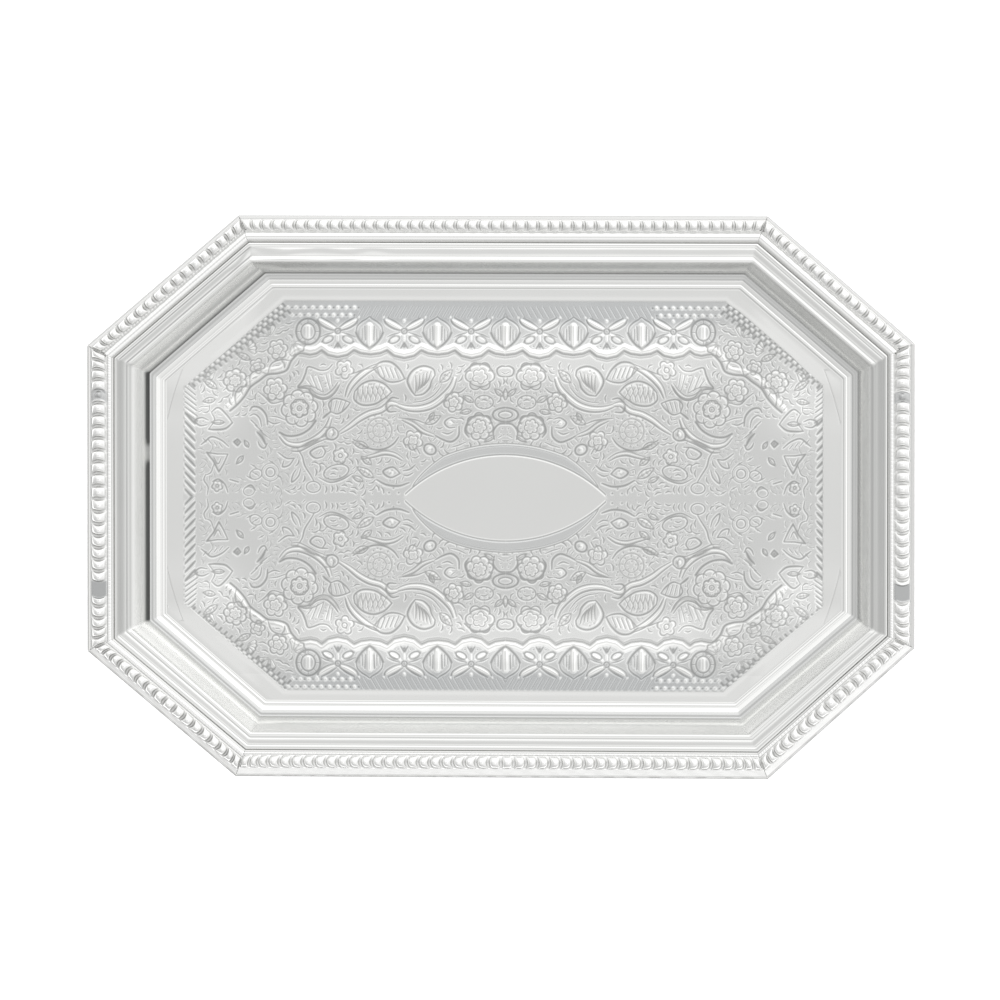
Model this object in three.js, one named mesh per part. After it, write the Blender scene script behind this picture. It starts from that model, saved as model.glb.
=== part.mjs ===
// Octagonal serving tray, millimetres, +Z up.
// X runs along the tray's length, Y across it; the origin is the centre of the
// underside, which is the flat face the tray rests on.
//
// The tray is built as a plated tray of this kind is made: one pressed sheet-metal
// pan (rim flange, stepped reed moulding, cove, wall, double-reed step and flat
// floor) with a gadroon border, made as eight mitred lengths, soldered on top of
// the flange. Neighbouring pieces keep the thin solder line between them.
import * as THREE from "three";

// ---- driving dimensions -------------------------------------------------------
const TRAY_LENGTH = 356.0; // over the border, along X
const TRAY_WIDTH = 241.0; // over the border, along Y
const CORNER_CUT_X = 64.4; // how much each cut corner takes off the long side
const CORNER_CUT_Y = 55.4; // and off the short side
const SHEET = 0.9; // thickness of the pan's sheet
const FLANGE_TOP = 14.9; // height of the flange's upper face
const FLANGE_SETBACK = 0.6; // the border overhangs the flange by this much
const SOLDER_GAP = 0.3; // solder line between border and flange
const MITRE_GAP = 0.3; // solder line between two border lengths
const BORDER_WIDTH = 11.4; // plan width of the gadroon border
const BEAD_PITCH = 5.0; // spacing of the gadroon lobes
const LAND_LENGTH = 7.2; // plain land in each end border, lobes left out
const LAND_OFFSET = -39.8; // its place along Y from the middle of the end
const SMALL_LAND_LENGTH = 4.6; // shorter land, with one small lobe
const SMALL_LAND_OFFSET = 42.6;

// Upper skin of the pan: [distance in from the tray's outer edge, height].
const PAN_TOP = [
  [FLANGE_SETBACK, FLANGE_TOP],
  [11.8, FLANGE_TOP],
  [12.3, 15.9], // first reed, beside the border
  [13.0, 16.1],
  [13.6, 15.3],
  [14.3, 15.8], // second reed
  [15.3, 15.9],
  [16.2, 15.2],
  [17.4, 15.2], // third reed
  [18.5, 14.8],
  [19.2, 13.9],
  [20.0, 13.1], // cove
  [21.4, 11.6],
  [22.9, 9.8],
  [24.2, 7.9],
  [24.9, 6.2], // steep wall
  [25.4, 4.3],
  [26.0, 3.9], // outer reed of the step
  [27.0, 3.9],
  [28.0, 3.5],
  [28.7, 2.8],
  [29.3, 2.7], // inner reed of the step
  [30.1, 2.3],
  [30.8, 1.5],
  [31.4, SHEET], // edge of the flat floor
];

// Lower skin, from the floor outwards.
const PAN_UNDER = [
  [31.6, 0.0],
  [30.6, 0.4],
  [29.6, 1.2],
  [28.4, 1.8],
  [27.2, 2.8],
  [25.4, 2.9],
  [24.6, 3.7],
  [24.0, 5.8],
  [23.3, 7.5],
  [22.1, 9.2],
  [20.6, 11.0],
  [19.2, 12.4],
  [18.2, 13.6],
  [16.4, 14.0],
  [FLANGE_SETBACK, FLANGE_TOP - SHEET],
];

// ---- plan outline ---------------------------------------------------------------
const A = TRAY_LENGTH / 2;
const B = TRAY_WIDTH / 2;
const CORNERS = [
  [A, -(B - CORNER_CUT_Y)],
  [A, B - CORNER_CUT_Y],
  [A - CORNER_CUT_X, B],
  [-(A - CORNER_CUT_X), B],
  [-A, B - CORNER_CUT_Y],
  [-A, -(B - CORNER_CUT_Y)],
  [-(A - CORNER_CUT_X), -B],
  [A - CORNER_CUT_X, -B],
]; // counter-clockwise seen from above
const SIDE_NAMES = [
  "border_right_end",
  "border_back_right_corner",
  "border_back",
  "border_back_left_corner",
  "border_left_end",
  "border_front_left_corner",
  "border_front",
  "border_front_right_corner",
];

function sideFrame(i) {
  const p = CORNERS[i];
  const q = CORNERS[(i + 1) % 8];
  const length = Math.hypot(q[0] - p[0], q[1] - p[1]);
  const t = [(q[0] - p[0]) / length, (q[1] - p[1]) / length];
  return { p, q, length, t, n: [-t[1], t[0]] }; // n points into the tray
}

// How far the offset corner moves per millimetre of offset.
const MITRE = CORNERS.map((_, i) => {
  const a = sideFrame((i + 7) % 8).n;
  const b = sideFrame(i).n;
  const k = 1 + a[0] * b[0] + a[1] * b[1];
  return [(a[0] + b[0]) / k, (a[1] + b[1]) / k];
});

function offsetCorner(i, d) {
  return [CORNERS[i][0] + MITRE[i][0] * d, CORNERS[i][1] + MITRE[i][1] * d];
}

function geometryFrom(vertices, triangles) {
  const geometry = new THREE.BufferGeometry();
  geometry.setAttribute("position", new THREE.Float32BufferAttribute(vertices.flat(), 3));
  geometry.setIndex(triangles.flat());
  geometry.computeVertexNormals();
  return geometry;
}

// ---- the pressed pan --------------------------------------------------------------
// Eight-cornered rings, one per profile point, from the flange's outer edge down the
// upper skin to the floor, and from the floor back out along the lower skin.
function panGeometry() {
  const profile = [...PAN_TOP, ...PAN_UNDER];
  const vertices = [];
  const triangles = [];
  for (const [d, z] of profile) {
    for (let i = 0; i < 8; i += 1) vertices.push([...offsetCorner(i, d), z]);
  }
  const quad = (ringA, ringB) => {
    for (let i = 0; i < 8; i += 1) {
      const j = (i + 1) % 8;
      triangles.push([ringA * 8 + i, ringA * 8 + j, ringB * 8 + j]);
      triangles.push([ringA * 8 + i, ringB * 8 + j, ringB * 8 + i]);
    }
  };
  for (let r = 0; r < profile.length; r += 1) {
    if (r === PAN_TOP.length - 1) continue; // the two floor faces are capped instead
    quad(r, (r + 1) % profile.length);
  }
  const top = (PAN_TOP.length - 1) * 8;
  const under = PAN_TOP.length * 8;
  for (let i = 1; i < 7; i += 1) {
    triangles.push([top, top + i, top + i + 1]);
    triangles.push([under, under + i + 1, under + i]);
  }
  return geometryFrom(vertices, triangles);
}

// ---- the gadroon border -------------------------------------------------------------
// Cross-section of a border length: [distance in, height at a lobe's crest, height in
// the hollow between two lobes]. It runs once round, starting at the outer lower edge.
const UNDERSIDE = FLANGE_TOP + SOLDER_GAP;
const SECTION = [
  [0.0, UNDERSIDE, UNDERSIDE],
  [0.0, 16.3, 16.3], // outer lip
  [2.0, 16.5, 16.5],
  [3.7, 18.5, 17.0], // lobe
  [6.6, 18.9, 17.2],
  [8.7, 16.7, 16.6],
  [10.1, 17.4, 17.4], // fine inner bead
  [BORDER_WIDTH, 16.3, 16.3],
  [BORDER_WIDTH, UNDERSIDE, UNDERSIDE],
];

function borderGeometry(i) {
  const { p, length, t, n } = sideFrame(i);
  const lobes = Math.round(length / BEAD_PITCH);
  const stations = 2 * lobes + 1;
  const count = SECTION.length;
  // Mitred ends: the section's ends shift along the side as the mitre line does.
  const startShift = MITRE[i][0] * t[0] + MITRE[i][1] * t[1];
  const next = (i + 1) % 8;
  const endShift = -(MITRE[next][0] * t[0] + MITRE[next][1] * t[1]);
  const startGap = (MITRE_GAP / 2) * Math.hypot(1, startShift);
  const endGap = (MITRE_GAP / 2) * Math.hypot(1, endShift);
  const FADE = 14.0; // the mitre's slant dies away over this length
  const vertices = [];
  const triangles = [];
  const isEnd = i === 0 || i === 4;
  for (let s = 0; s < stations; s += 1) {
    const u = startGap + ((length - startGap - endGap) * s) / (stations - 1);
    const fromStart = Math.max(0, 1 - (u - startGap) / FADE);
    const fromEnd = Math.max(0, 1 - (length - endGap - u) / FADE);
    const y = p[1] + t[1] * u;
    let crest = s % 2;
    if (isEnd && Math.abs(y - LAND_OFFSET) < LAND_LENGTH / 2) crest = 0;
    if (isEnd && Math.abs(y - SMALL_LAND_OFFSET) < SMALL_LAND_LENGTH / 2) crest *= 0.4;
    for (const [d, high, low] of SECTION) {
      const along = u + d * startShift * fromStart - d * endShift * fromEnd;
      vertices.push([
        p[0] + t[0] * along + n[0] * d,
        p[1] + t[1] * along + n[1] * d,
        low + (high - low) * crest,
      ]);
    }
  }
  for (let s = 0; s + 1 < stations; s += 1) {
    for (let k = 0; k < count; k += 1) {
      const m = (k + 1) % count;
      const a = s * count + k;
      const b = s * count + m;
      const c = (s + 1) * count + m;
      const e = (s + 1) * count + k;
      triangles.push([a, c, b], [a, e, c]);
    }
  }
  // End caps, closing the section at both mitres.
  const contour = SECTION.map(([d, , low]) => new THREE.Vector2(d, low));
  const last = (stations - 1) * count;
  const turn = Math.sign(THREE.ShapeUtils.area(contour));
  for (const [a, b, c] of THREE.ShapeUtils.triangulateShape(contour, [])) {
    const same = Math.sign(THREE.ShapeUtils.area([contour[a], contour[b], contour[c]])) === turn;
    const face = same ? [a, b, c] : [a, c, b];
    triangles.push(face);
    triangles.push([last + face[0], last + face[2], last + face[1]]);
  }
  return geometryFrom(vertices, triangles);
}

function signedVolume(geometry) {
  const v = geometry.attributes.position.array;
  const f = geometry.index.array;
  let sum = 0;
  const at = (k) => new THREE.Vector3(v[3 * k], v[3 * k + 1], v[3 * k + 2]);
  for (let k = 0; k < f.length; k += 3) {
    sum += at(f[k]).dot(at(f[k + 1]).cross(at(f[k + 2])));
  }
  return sum / 6;
}

function outward(geometry) {
  if (signedVolume(geometry) >= 0) return geometry;
  const f = geometry.index.array;
  for (let k = 0; k < f.length; k += 3) {
    const hold = f[k + 1];
    f[k + 1] = f[k + 2];
    f[k + 2] = hold;
  }
  geometry.computeVertexNormals();
  return geometry;
}

// ---- the assembly --------------------------------------------------------------------
const panPlate = new THREE.MeshStandardMaterial({
  color: new THREE.Color(0.8, 0.81, 0.8),
  roughness: 0.16,
  metalness: 1.0,
});
const borderPlate = new THREE.MeshStandardMaterial({
  color: new THREE.Color(0.86, 0.86, 0.84),
  roughness: 0.12,
  metalness: 1.0,
});

const tray = new THREE.Group();

const pan = new THREE.Mesh(outward(panGeometry()), panPlate);
pan.name = "tray_pan";
tray.add(pan);

const border = new THREE.Group();
for (let i = 0; i < 8; i += 1) {
  const strip = new THREE.Mesh(outward(borderGeometry(i)), borderPlate.clone());
  strip.name = SIDE_NAMES[i];
  border.add(strip);
}
tray.add(border);

export default tray;
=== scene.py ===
import bpy
import math
import numpy as np
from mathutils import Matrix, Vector


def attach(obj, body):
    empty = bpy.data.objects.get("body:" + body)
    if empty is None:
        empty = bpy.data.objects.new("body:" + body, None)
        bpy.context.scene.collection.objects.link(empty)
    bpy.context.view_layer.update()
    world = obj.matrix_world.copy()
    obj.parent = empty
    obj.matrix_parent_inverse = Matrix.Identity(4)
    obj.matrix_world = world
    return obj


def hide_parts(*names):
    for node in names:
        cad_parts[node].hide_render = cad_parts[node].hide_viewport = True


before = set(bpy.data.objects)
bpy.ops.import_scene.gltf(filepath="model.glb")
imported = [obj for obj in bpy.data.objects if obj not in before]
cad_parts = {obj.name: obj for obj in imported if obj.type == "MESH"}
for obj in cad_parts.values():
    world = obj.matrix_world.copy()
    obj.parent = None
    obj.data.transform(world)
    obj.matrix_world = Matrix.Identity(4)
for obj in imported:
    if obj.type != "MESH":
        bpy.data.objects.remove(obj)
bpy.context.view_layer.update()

MM = 0.001

# ------------------------------------------------------------------ camera
CAM_DIST = 6.0
TILT_X = math.radians(5.1)
TILT_Y = math.radians(2.4)
VIEW_WIDTH_MM = 428.64
target = Vector((0.00013, -0.00129, 0.0165))
cam_data = bpy.data.cameras.new("camera")
cam_data.sensor_width = 36.0
cam_data.lens = 36.0 * CAM_DIST * 1000.0 / VIEW_WIDTH_MM
cam_data.clip_start = 0.05
cam_data.clip_end = 60.0
cam_data.dof.use_dof = False
camera = bpy.data.objects.new("camera", cam_data)
bpy.context.scene.collection.objects.link(camera)
toward = Vector((math.tan(TILT_X), math.tan(TILT_Y), 1.0)).normalized()
camera.location = target + toward * CAM_DIST
# Look at the target with +Y kept upright in the picture.
back = toward
right = Vector((0, 1, 0)).cross(back).normalized()
up = back.cross(right)
camera.matrix_world = camera.matrix_world.__class__((
    (right.x, up.x, back.x, camera.location.x),
    (right.y, up.y, back.y, camera.location.y),
    (right.z, up.z, back.z, camera.location.z),
    (0, 0, 0, 1)))
bpy.context.scene.camera = camera

# ------------------------------------------------------------------ plan outline, mm
A, B = 178.0, 120.5
CUT_X, CUT_Y = 64.4, 55.4
# The corners as fitted: each within a couple of millimetres of the drawn octagon.
CORNERS = np.array([
    (178.0, -64.1), (178.0, 66.3), (115.0, 120.5), (-112.5, 120.5),
    (-178.0, 64.4), (-178.0, -66.9), (-114.0, -120.5), (115.2, -120.5)])
SIDE_NAMES = [
    "border_right_end", "border_back_right_corner", "border_back", "border_back_left_corner",
    "border_left_end", "border_front_left_corner", "border_front", "border_front_right_corner"]


def side(i):
    p, q = CORNERS[i], CORNERS[(i + 1) % 8]
    length = float(np.hypot(*(q - p)))
    t = (q - p) / length
    return p, q, length, t, np.array([-t[1], t[0]])


MITRE = []
for i in range(8):
    na, nb = side((i + 7) % 8)[4], side(i)[4]
    MITRE.append((na + nb) / (1 + na @ nb))
MITRE = np.array(MITRE)

rng = np.random.default_rng(7)


def waves(n, lo, hi, seed):
    """A smooth wandering surface: n plane waves with wavelengths lo to hi, in mm."""
    r = np.random.default_rng(seed)
    lam = np.exp(r.uniform(math.log(lo), math.log(hi), n))
    ang = r.uniform(0, 2 * math.pi, n)
    ph = r.uniform(0, 2 * math.pi, n)
    amp = (lam / hi) ** 1.0
    amp /= math.sqrt((amp ** 2).sum() / 2)

    def f(x, y):
        out = np.zeros_like(x, dtype=float)
        for l, a, p, m in zip(lam, ang, ph, amp):
            out += m * np.sin(2 * math.pi * (x * math.cos(a) + y * math.sin(a)) / l + p)
        return out
    return f


hand_waves = waves(14, 9.0, 46.0, 11)
floor_waves = waves(9, 60.0, 190.0, 12)


def smooth_curve(points, per=6):
    """Catmull-Rom through the points, `per` steps between neighbours."""
    p = np.array(points, float)
    ext = np.vstack([2 * p[0] - p[1], p, 2 * p[-1] - p[-2]])
    out = []
    for k in range(len(p) - 1):
        p0, p1, p2, p3 = ext[k], ext[k + 1], ext[k + 2], ext[k + 3]
        # centripetal parameters keep the curve free of loops
        t0 = 0.0
        t1 = t0 + max(np.linalg.norm(p1 - p0), 1e-6) ** 0.5
        t2 = t1 + max(np.linalg.norm(p2 - p1), 1e-6) ** 0.5
        t3 = t2 + max(np.linalg.norm(p3 - p2), 1e-6) ** 0.5
        for s in range(per):
            t = t1 + (t2 - t1) * s / per
            a1 = (t1 - t) / (t1 - t0) * p0 + (t - t0) / (t1 - t0) * p1
            a2 = (t2 - t) / (t2 - t1) * p1 + (t - t1) / (t2 - t1) * p2
            a3 = (t3 - t) / (t3 - t2) * p2 + (t - t2) / (t3 - t2) * p3
            b1 = (t2 - t) / (t2 - t0) * a1 + (t - t0) / (t2 - t0) * a2
            b2 = (t3 - t) / (t3 - t1) * a2 + (t - t1) / (t3 - t1) * a3
            out.append((t2 - t) / (t2 - t1) * b1 + (t - t1) / (t2 - t1) * b2)
    out.append(p[-1])
    return np.array(out)


def make_object(name, verts_mm, faces, attributes=None):
    """A mesh object from arrays: verts (n,3) in mm, faces list of (n,k) integer arrays."""
    me = bpy.data.meshes.new(name)
    verts = np.asarray(verts_mm, np.float64) * MM
    me.vertices.add(len(verts))
    me.vertices.foreach_set("co", verts.astype(np.float32).ravel())
    loops, starts, totals = [], [], []
    at = 0
    for f in faces:
        f = np.asarray(f, np.int32)
        n, k = f.shape
        loops.append(f.ravel())
        starts.append(at + np.arange(n, dtype=np.int32) * k)
        totals.append(np.full(n, k, np.int32))
        at += n * k
    loops = np.concatenate(loops)
    starts = np.concatenate(starts)
    totals = np.concatenate(totals)
    me.loops.add(len(loops))
    me.loops.foreach_set("vertex_index", loops)
    me.polygons.add(len(starts))
    me.polygons.foreach_set("loop_start", starts)
    me.polygons.foreach_set("loop_total", totals)
    me.update(calc_edges=True)
    me.polygons.foreach_set("use_smooth", np.ones(len(starts), bool))
    for key, values in (attributes or {}).items():
        at_ = me.attributes.new(key, "FLOAT", "POINT")
        at_.data.foreach_set("value", np.asarray(values, np.float32))
    if me.validate(verbose=False):
        print("mesh repaired:", name)
    me.update()
    ob = bpy.data.objects.new(name, me)
    bpy.context.scene.collection.objects.link(ob)
    return ob


# ------------------------------------------------------------------ the ornament of the floor
# A quarter of the design, drawn as a die sinker lays it out and mirrored into all four
# quarters. Layout units: x to the right of the tray's short axis, y down from a line
# 85.3 mm behind its long axis; one unit is 0.09 mm.
UNIT = 0.0900
Y0 = 85.3
CELL = 0.11                     # raster cell of the design, mm
QW, QH = 148.0, 91.0
NX, NY = int(QW / CELL), int(QH / CELL)
groove = np.zeros((NY, NX), np.float32)      # 0..1, cut lines
raised = np.zeros((NY, NX), np.float32)      # mm, raised metal
frost = np.zeros((NY, NX), np.float32)       # 0..1, matt ground


def to_mm(pts):
    p = np.array(pts, float)
    return np.stack([p[:, 0] * UNIT - 0.71, Y0 + 0.85 - p[:, 1] * UNIT], 1)


def seg_layer(target_, a, b, wa, wb, reach, profile):
    """Writes max(profile(distance/width)) along the segment a-b, all in mm."""
    lo = np.minimum(a, b) - reach
    hi = np.maximum(a, b) + reach
    x0, x1 = max(0, int(lo[0] / CELL)), min(NX, int(hi[0] / CELL) + 2)
    y0, y1 = max(0, int(lo[1] / CELL)), min(NY, int(hi[1] / CELL) + 2)
    if x0 >= x1 or y0 >= y1:
        return
    xs = (np.arange(x0, x1) + 0.5) * CELL
    ys = (np.arange(y0, y1) + 0.5) * CELL
    gx, gy = np.meshgrid(xs, ys)
    d = b - a
    L2 = max(float(d @ d), 1e-9)
    t = np.clip(((gx - a[0]) * d[0] + (gy - a[1]) * d[1]) / L2, 0, 1)
    dist = np.hypot(gx - a[0] - t * d[0], gy - a[1] - t * d[1])
    w = wa + (wb - wa) * t
    v = profile(dist / w)
    view = target_[y0:y1, x0:x1]
    np.maximum(view, v, out=view, casting="unsafe")


def soft(r):
    return np.clip(1 - r * r, 0, 1) ** 0.8


def bell(r):
    return np.exp(-r * r * 1.6)


LINE_FINE, LINE_BOLD = 1.45, 1.95   # how wide the punched lines have spread


def cut(pts, w=0.42, taper=True, curve=True, strength=1.0):
    """A cut line: w is its half-width in mm before it spreads; it thins towards both ends."""
    w = w * (LINE_FINE + (LINE_BOLD - LINE_FINE) * min(1.0, max(0.0, (w - 0.3) / 0.12)))
    p = to_mm(pts)
    if curve and len(p) > 2:
        p = smooth_curve(p, 5)
    n = len(p) - 1
    for k in range(n):
        ta, tb = k / n, (k + 1) / n
        fa = 0.55 + 0.45 * math.sin(math.pi * ta) if taper else 1.0
        fb = 0.55 + 0.45 * math.sin(math.pi * tb) if taper else 1.0
        seg_layer(groove, p[k], p[k + 1], w * fa, w * fb, w * 2.4, lambda r: strength * bell(r))


def rib(pts, w=0.8, h=0.16, curve=True, ends=0.35):
    """A raised stem, w half-width and h height in mm."""
    p = to_mm(pts)
    if curve and len(p) > 2:
        p = smooth_curve(p, 5)
    n = len(p) - 1
    for k in range(n):
        ta, tb = k / n, (k + 1) / n
        fa = ends + (1 - ends) * math.sin(math.pi * ta) ** 0.6
        fb = ends + (1 - ends) * math.sin(math.pi * tb) ** 0.6
        seg_layer(raised, p[k], p[k + 1], w * fa, w * fb, w * 1.6, lambda r: h * soft(r))


def dot(x, y, r=0.5, h=0.16):
    p = to_mm([(x, y)])[0]
    seg_layer(raised, p, p + 1e-4, r, r, r * 1.5, lambda q: h * soft(q))


def pit(x, y, r=0.45, s=1.0):
    r = r * 1.3
    p = to_mm([(x, y)])[0]
    seg_layer(groove, p, p + 1e-4, r, r, r * 2.4, lambda q: s * bell(q))


def ring(x, y, rx, ry=None, w=0.4, rot=0.0, a0=0, a1=360, n=14, s=1.0):
    ry = rx if ry is None else ry
    pts = []
    for k in range(n + 1):
        a = math.radians(a0 + (a1 - a0) * k / n)
        u, v = rx * math.cos(a), ry * math.sin(a)
        pts.append((x + u * math.cos(rot) - v * math.sin(rot), y + u * math.sin(rot) + v * math.cos(rot)))
    cut(pts, w, taper=(a1 - a0) < 350, strength=s)


def stem(pts, w=12.0, h=0.24, cutw=0.36):
    """A double-line stem: raised between two cut lines. w is the half-width in units."""
    p = smooth_curve(np.array(pts, float), 4)
    t = np.gradient(p, axis=0)
    t /= np.linalg.norm(t, axis=1)[:, None] + 1e-9
    n = np.stack([-t[:, 1], t[:, 0]], 1)
    k = np.linspace(0, 1, len(p))[:, None]
    ww = w * (0.35 + 0.65 * np.sin(math.pi * np.clip(k * 0.9 + 0.08, 0, 1)) ** 0.7)
    cut(p + n * ww, cutw, curve=False, taper=True)
    cut(p - n * ww, cutw, curve=False, taper=True)
    rib(p, w * UNIT * 0.85, h, curve=False)


def rose(x, y, r, petals=6, rot=0.3, dense=True):
    """An open rose: lobed rim, a ring of inner petals, a curl and a seeded heart."""
    p = to_mm([(x, y)])[0]
    seg_layer(raised, p, p + 1e-4, r * UNIT, r * UNIT, r * UNIT * 1.3, lambda q: 0.13 * np.clip(1 - q ** 4, 0, 1))
    for k in range(petals):
        a = rot + 2 * math.pi * k / petals
        cx, cy = x + 0.70 * r * math.cos(a), y + 0.70 * r * math.sin(a)
        ring(cx, cy, 0.40 * r, 0.40 * r, 0.34, rot=a, a0=-100, a1=100, n=8)
    if dense:
        for k in range(petals - 1):
            a = rot + 0.5 + 2 * math.pi * k / (petals - 1)
            cx, cy = x + 0.34 * r * math.cos(a), y + 0.34 * r * math.sin(a)
            ring(cx, cy, 0.24 * r, 0.24 * r, 0.28, rot=a, a0=-100, a1=100, n=6)
        pit(x, y, 0.3)
    else:
        ring(x, y, 0.3 * r, w=0.28)


def leaf(x0, y0, x1, y1, w=18.0, veins=3, vein_w=0.26):
    """A pointed leaf from (x0,y0) to its tip (x1,y1), half-width w, with a midrib and veins."""
    a, b = np.array([x0, y0], float), np.array([x1, y1], float)
    d = b - a
    L = np.linalg.norm(d)
    t = d / L
    n = np.array([-t[1], t[0]])
    ks = np.linspace(0, 1, 7)
    wd = np.sin(math.pi * ks ** 0.85) * w
    up_ = [tuple(a + d * k + n * v) for k, v in zip(ks, wd)]
    dn_ = [tuple(a + d * k - n * v) for k, v in zip(ks, wd)]
    cut(up_, 0.34)
    cut(dn_, 0.34)
    rib([tuple(a), tuple((a + b) / 2), tuple(b)], w * UNIT * 0.9, 0.13, curve=False)
    cut([tuple(a + d * 0.08), tuple(a + d * 0.8)], 0.24, curve=False)
    for k in range(veins):
        c = a + d * (0.25 + 0.5 * k / max(1, veins - 1))
        for sgn in (1, -1):
            cut([tuple(c), tuple(c + t * L * 0.10 + n * sgn * w * 0.62)], vein_w, curve=False)


def fan(x, y, ang, r0, r1, n=5, spread=70, w=0.34):
    """A shell: n ribs fanning out from (x,y) round direction ang (degrees), with a scalloped edge."""
    for k in range(n):
        a = math.radians(ang + (k / (n - 1) - 0.5) * spread)
        c, s_ = math.cos(a), math.sin(a)
        rib([(x + r0 * c, y + r0 * s_), (x + r1 * c, y + r1 * s_)], 0.5, 0.15, curve=False, ends=0.6)
    for k in range(n + 1):
        a = math.radians(ang + (k / n - 0.5) * spread * n / (n - 1))
        c, s_ = math.cos(a), math.sin(a)
        cut([(x + r0 * c, y + r0 * s_), (x + r1 * c * 0.98, y + r1 * s_ * 0.98)], w * 0.8, curve=False)
    pts = []
    for k in range(2 * n + 1):
        a = math.radians(ang + (k / (2 * n) - 0.5) * spread * n / (n - 1))
        rr = r1 * (1.0 if k % 2 == 0 else 1.12)
        pts.append((x + rr * math.cos(a), y + rr * math.sin(a)))
    cut(pts, w)


def seeds(x, y, r, n, size=0.34, ring_w=None):
    for k in range(n):
        a = 2 * math.pi * k / n + 0.2
        pit(x + r * math.cos(a), y + r * math.sin(a), size)


R00, RO0 = (44.3 ** 2 + 18.3 ** 2) / (2 * 18.3), (44.3 ** 2 + 18.3 ** 2) / (2 * 18.3) - 18.3

# ---- outline of the worked field, mm (quarter)
FIELD_W, FIELD_H = 138.2, 83.85
FIELD_TOP, FIELD_SIDE = 94.65, 46.6


def field_inside(x, y):
    """Distance inside the worked field's edge (positive inside), quarter coordinates."""
    ex, ey = FIELD_TOP - FIELD_W, FIELD_H - FIELD_SIDE
    L = math.hypot(ex, ey)
    nx, ny = ey / L, -ex / L            # outward normal of the cut corner
    diag = (FIELD_W - x) * nx + (FIELD_SIDE - y) * ny
    return np.minimum(np.minimum(FIELD_W - x, FIELD_H - y), diag)


# ---- scalloped ribbon under the row of shields and four-petal flowers
cusps = [-70, 90, 250, 412, 575, 735, 890]
lows = [(10, 276), (170, 292), (331, 275), (493, 292), (655, 275), (813, 288), (945, 277)]
pts_low = []
for c, (lx, ly) in zip(cusps, lows):
    pts_low += [(c, 254), (c + (lx - c) * 0.42, 254 + (ly - 254) * 0.72), (lx, ly)]
    nxt = cusps[cusps.index(c) + 1] if cusps.index(c) + 1 < len(cusps) else 1000
    pts_low += [(lx + (nxt - lx) * 0.58, 254 + (ly - 254) * 0.72)]
pts_low += [(1000, 268)]
ribbon_low = pts_low
cut(ribbon_low, 0.44, taper=False, curve=False)
cut([(x, y + 13) for x, y in ribbon_low], 0.34, taper=False, curve=False, strength=0.5)
rib([(x, y - 19) for x, y in ribbon_low], 1.5, 0.36, curve=False, ends=1.0)
# it turns down the cut corner as a stepped chevron
chev = [(1000, 268), (1036, 306), (1058, 350), (1100, 366), (1150, 372), (1186, 398), (1232, 432), (1262, 478), (1300, 520), (1330, 545)]
cut(chev, 0.44, taper=False)
rib([(x + 13, y - 18) for x, y in chev], 1.25, 0.32, ends=0.8)
cut([(1036, 306), (1080, 300), (1130, 318), (1150, 372)], 0.34)
cut([(1150, 372), (1196, 352), (1232, 372), (1232, 432)], 0.34)
cut([(1232, 432), (1280, 430), (1306, 470), (1300, 520)], 0.34)

# ---- shields
for cx, s in ((9, 1.0), (335, 1.0), (660, 0.95)):
    L_ = [(cx - 68 * s, 170), (cx - 55 * s, 196), (cx - 30 * s, 224), (cx, 247)]
    R_ = [(cx + 68 * s, 170), (cx + 55 * s, 196), (cx + 30 * s, 224), (cx, 247)]
    cut(L_, 0.5, taper=False)
    cut(R_, 0.5, taper=False)
    cut([(cx - 68 * s, 170), (cx - 62 * s, 140), (cx - 40 * s, 118), (cx - 16 * s, 104), (cx, 92)], 0.34)
    cut([(cx + 68 * s, 170), (cx + 62 * s, 140), (cx + 40 * s, 118), (cx + 16 * s, 104), (cx, 92)], 0.34)
    rib([(cx, 136), (cx, 226)], 1.55, 0.42, curve=False, ends=0.85)
    for sg in (-1, 1):
        cut([(cx + sg * 23, 138), (cx + sg * 21, 205)], 0.40, curve=False)
        cut([(cx + sg * 35, 150), (cx + sg * 34, 205)], 0.34, curve=False)
        rib([(cx + sg * 27, 150), (cx + sg * 26, 205)], 0.42, 0.16, curve=False)
        cut([(cx + sg * 50, 158), (cx + sg * 47, 196)], 0.26, curve=False)
# the corner medallion that ends the row
ring(955, 165, 58, 62, w=0.42)
ring(955, 165, 34, 40, w=0.34)
rib([(955, 140), (955, 192)], 1.1, 0.26, curve=False, ends=0.8)
for a in range(0, 360, 45):
    c, s_ = math.cos(math.radians(a)), math.sin(math.radians(a))
    cut([(955 + 38 * c, 165 + 42 * s_), (955 + 54 * c, 165 + 58 * s_)], 0.26, curve=False)

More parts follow.
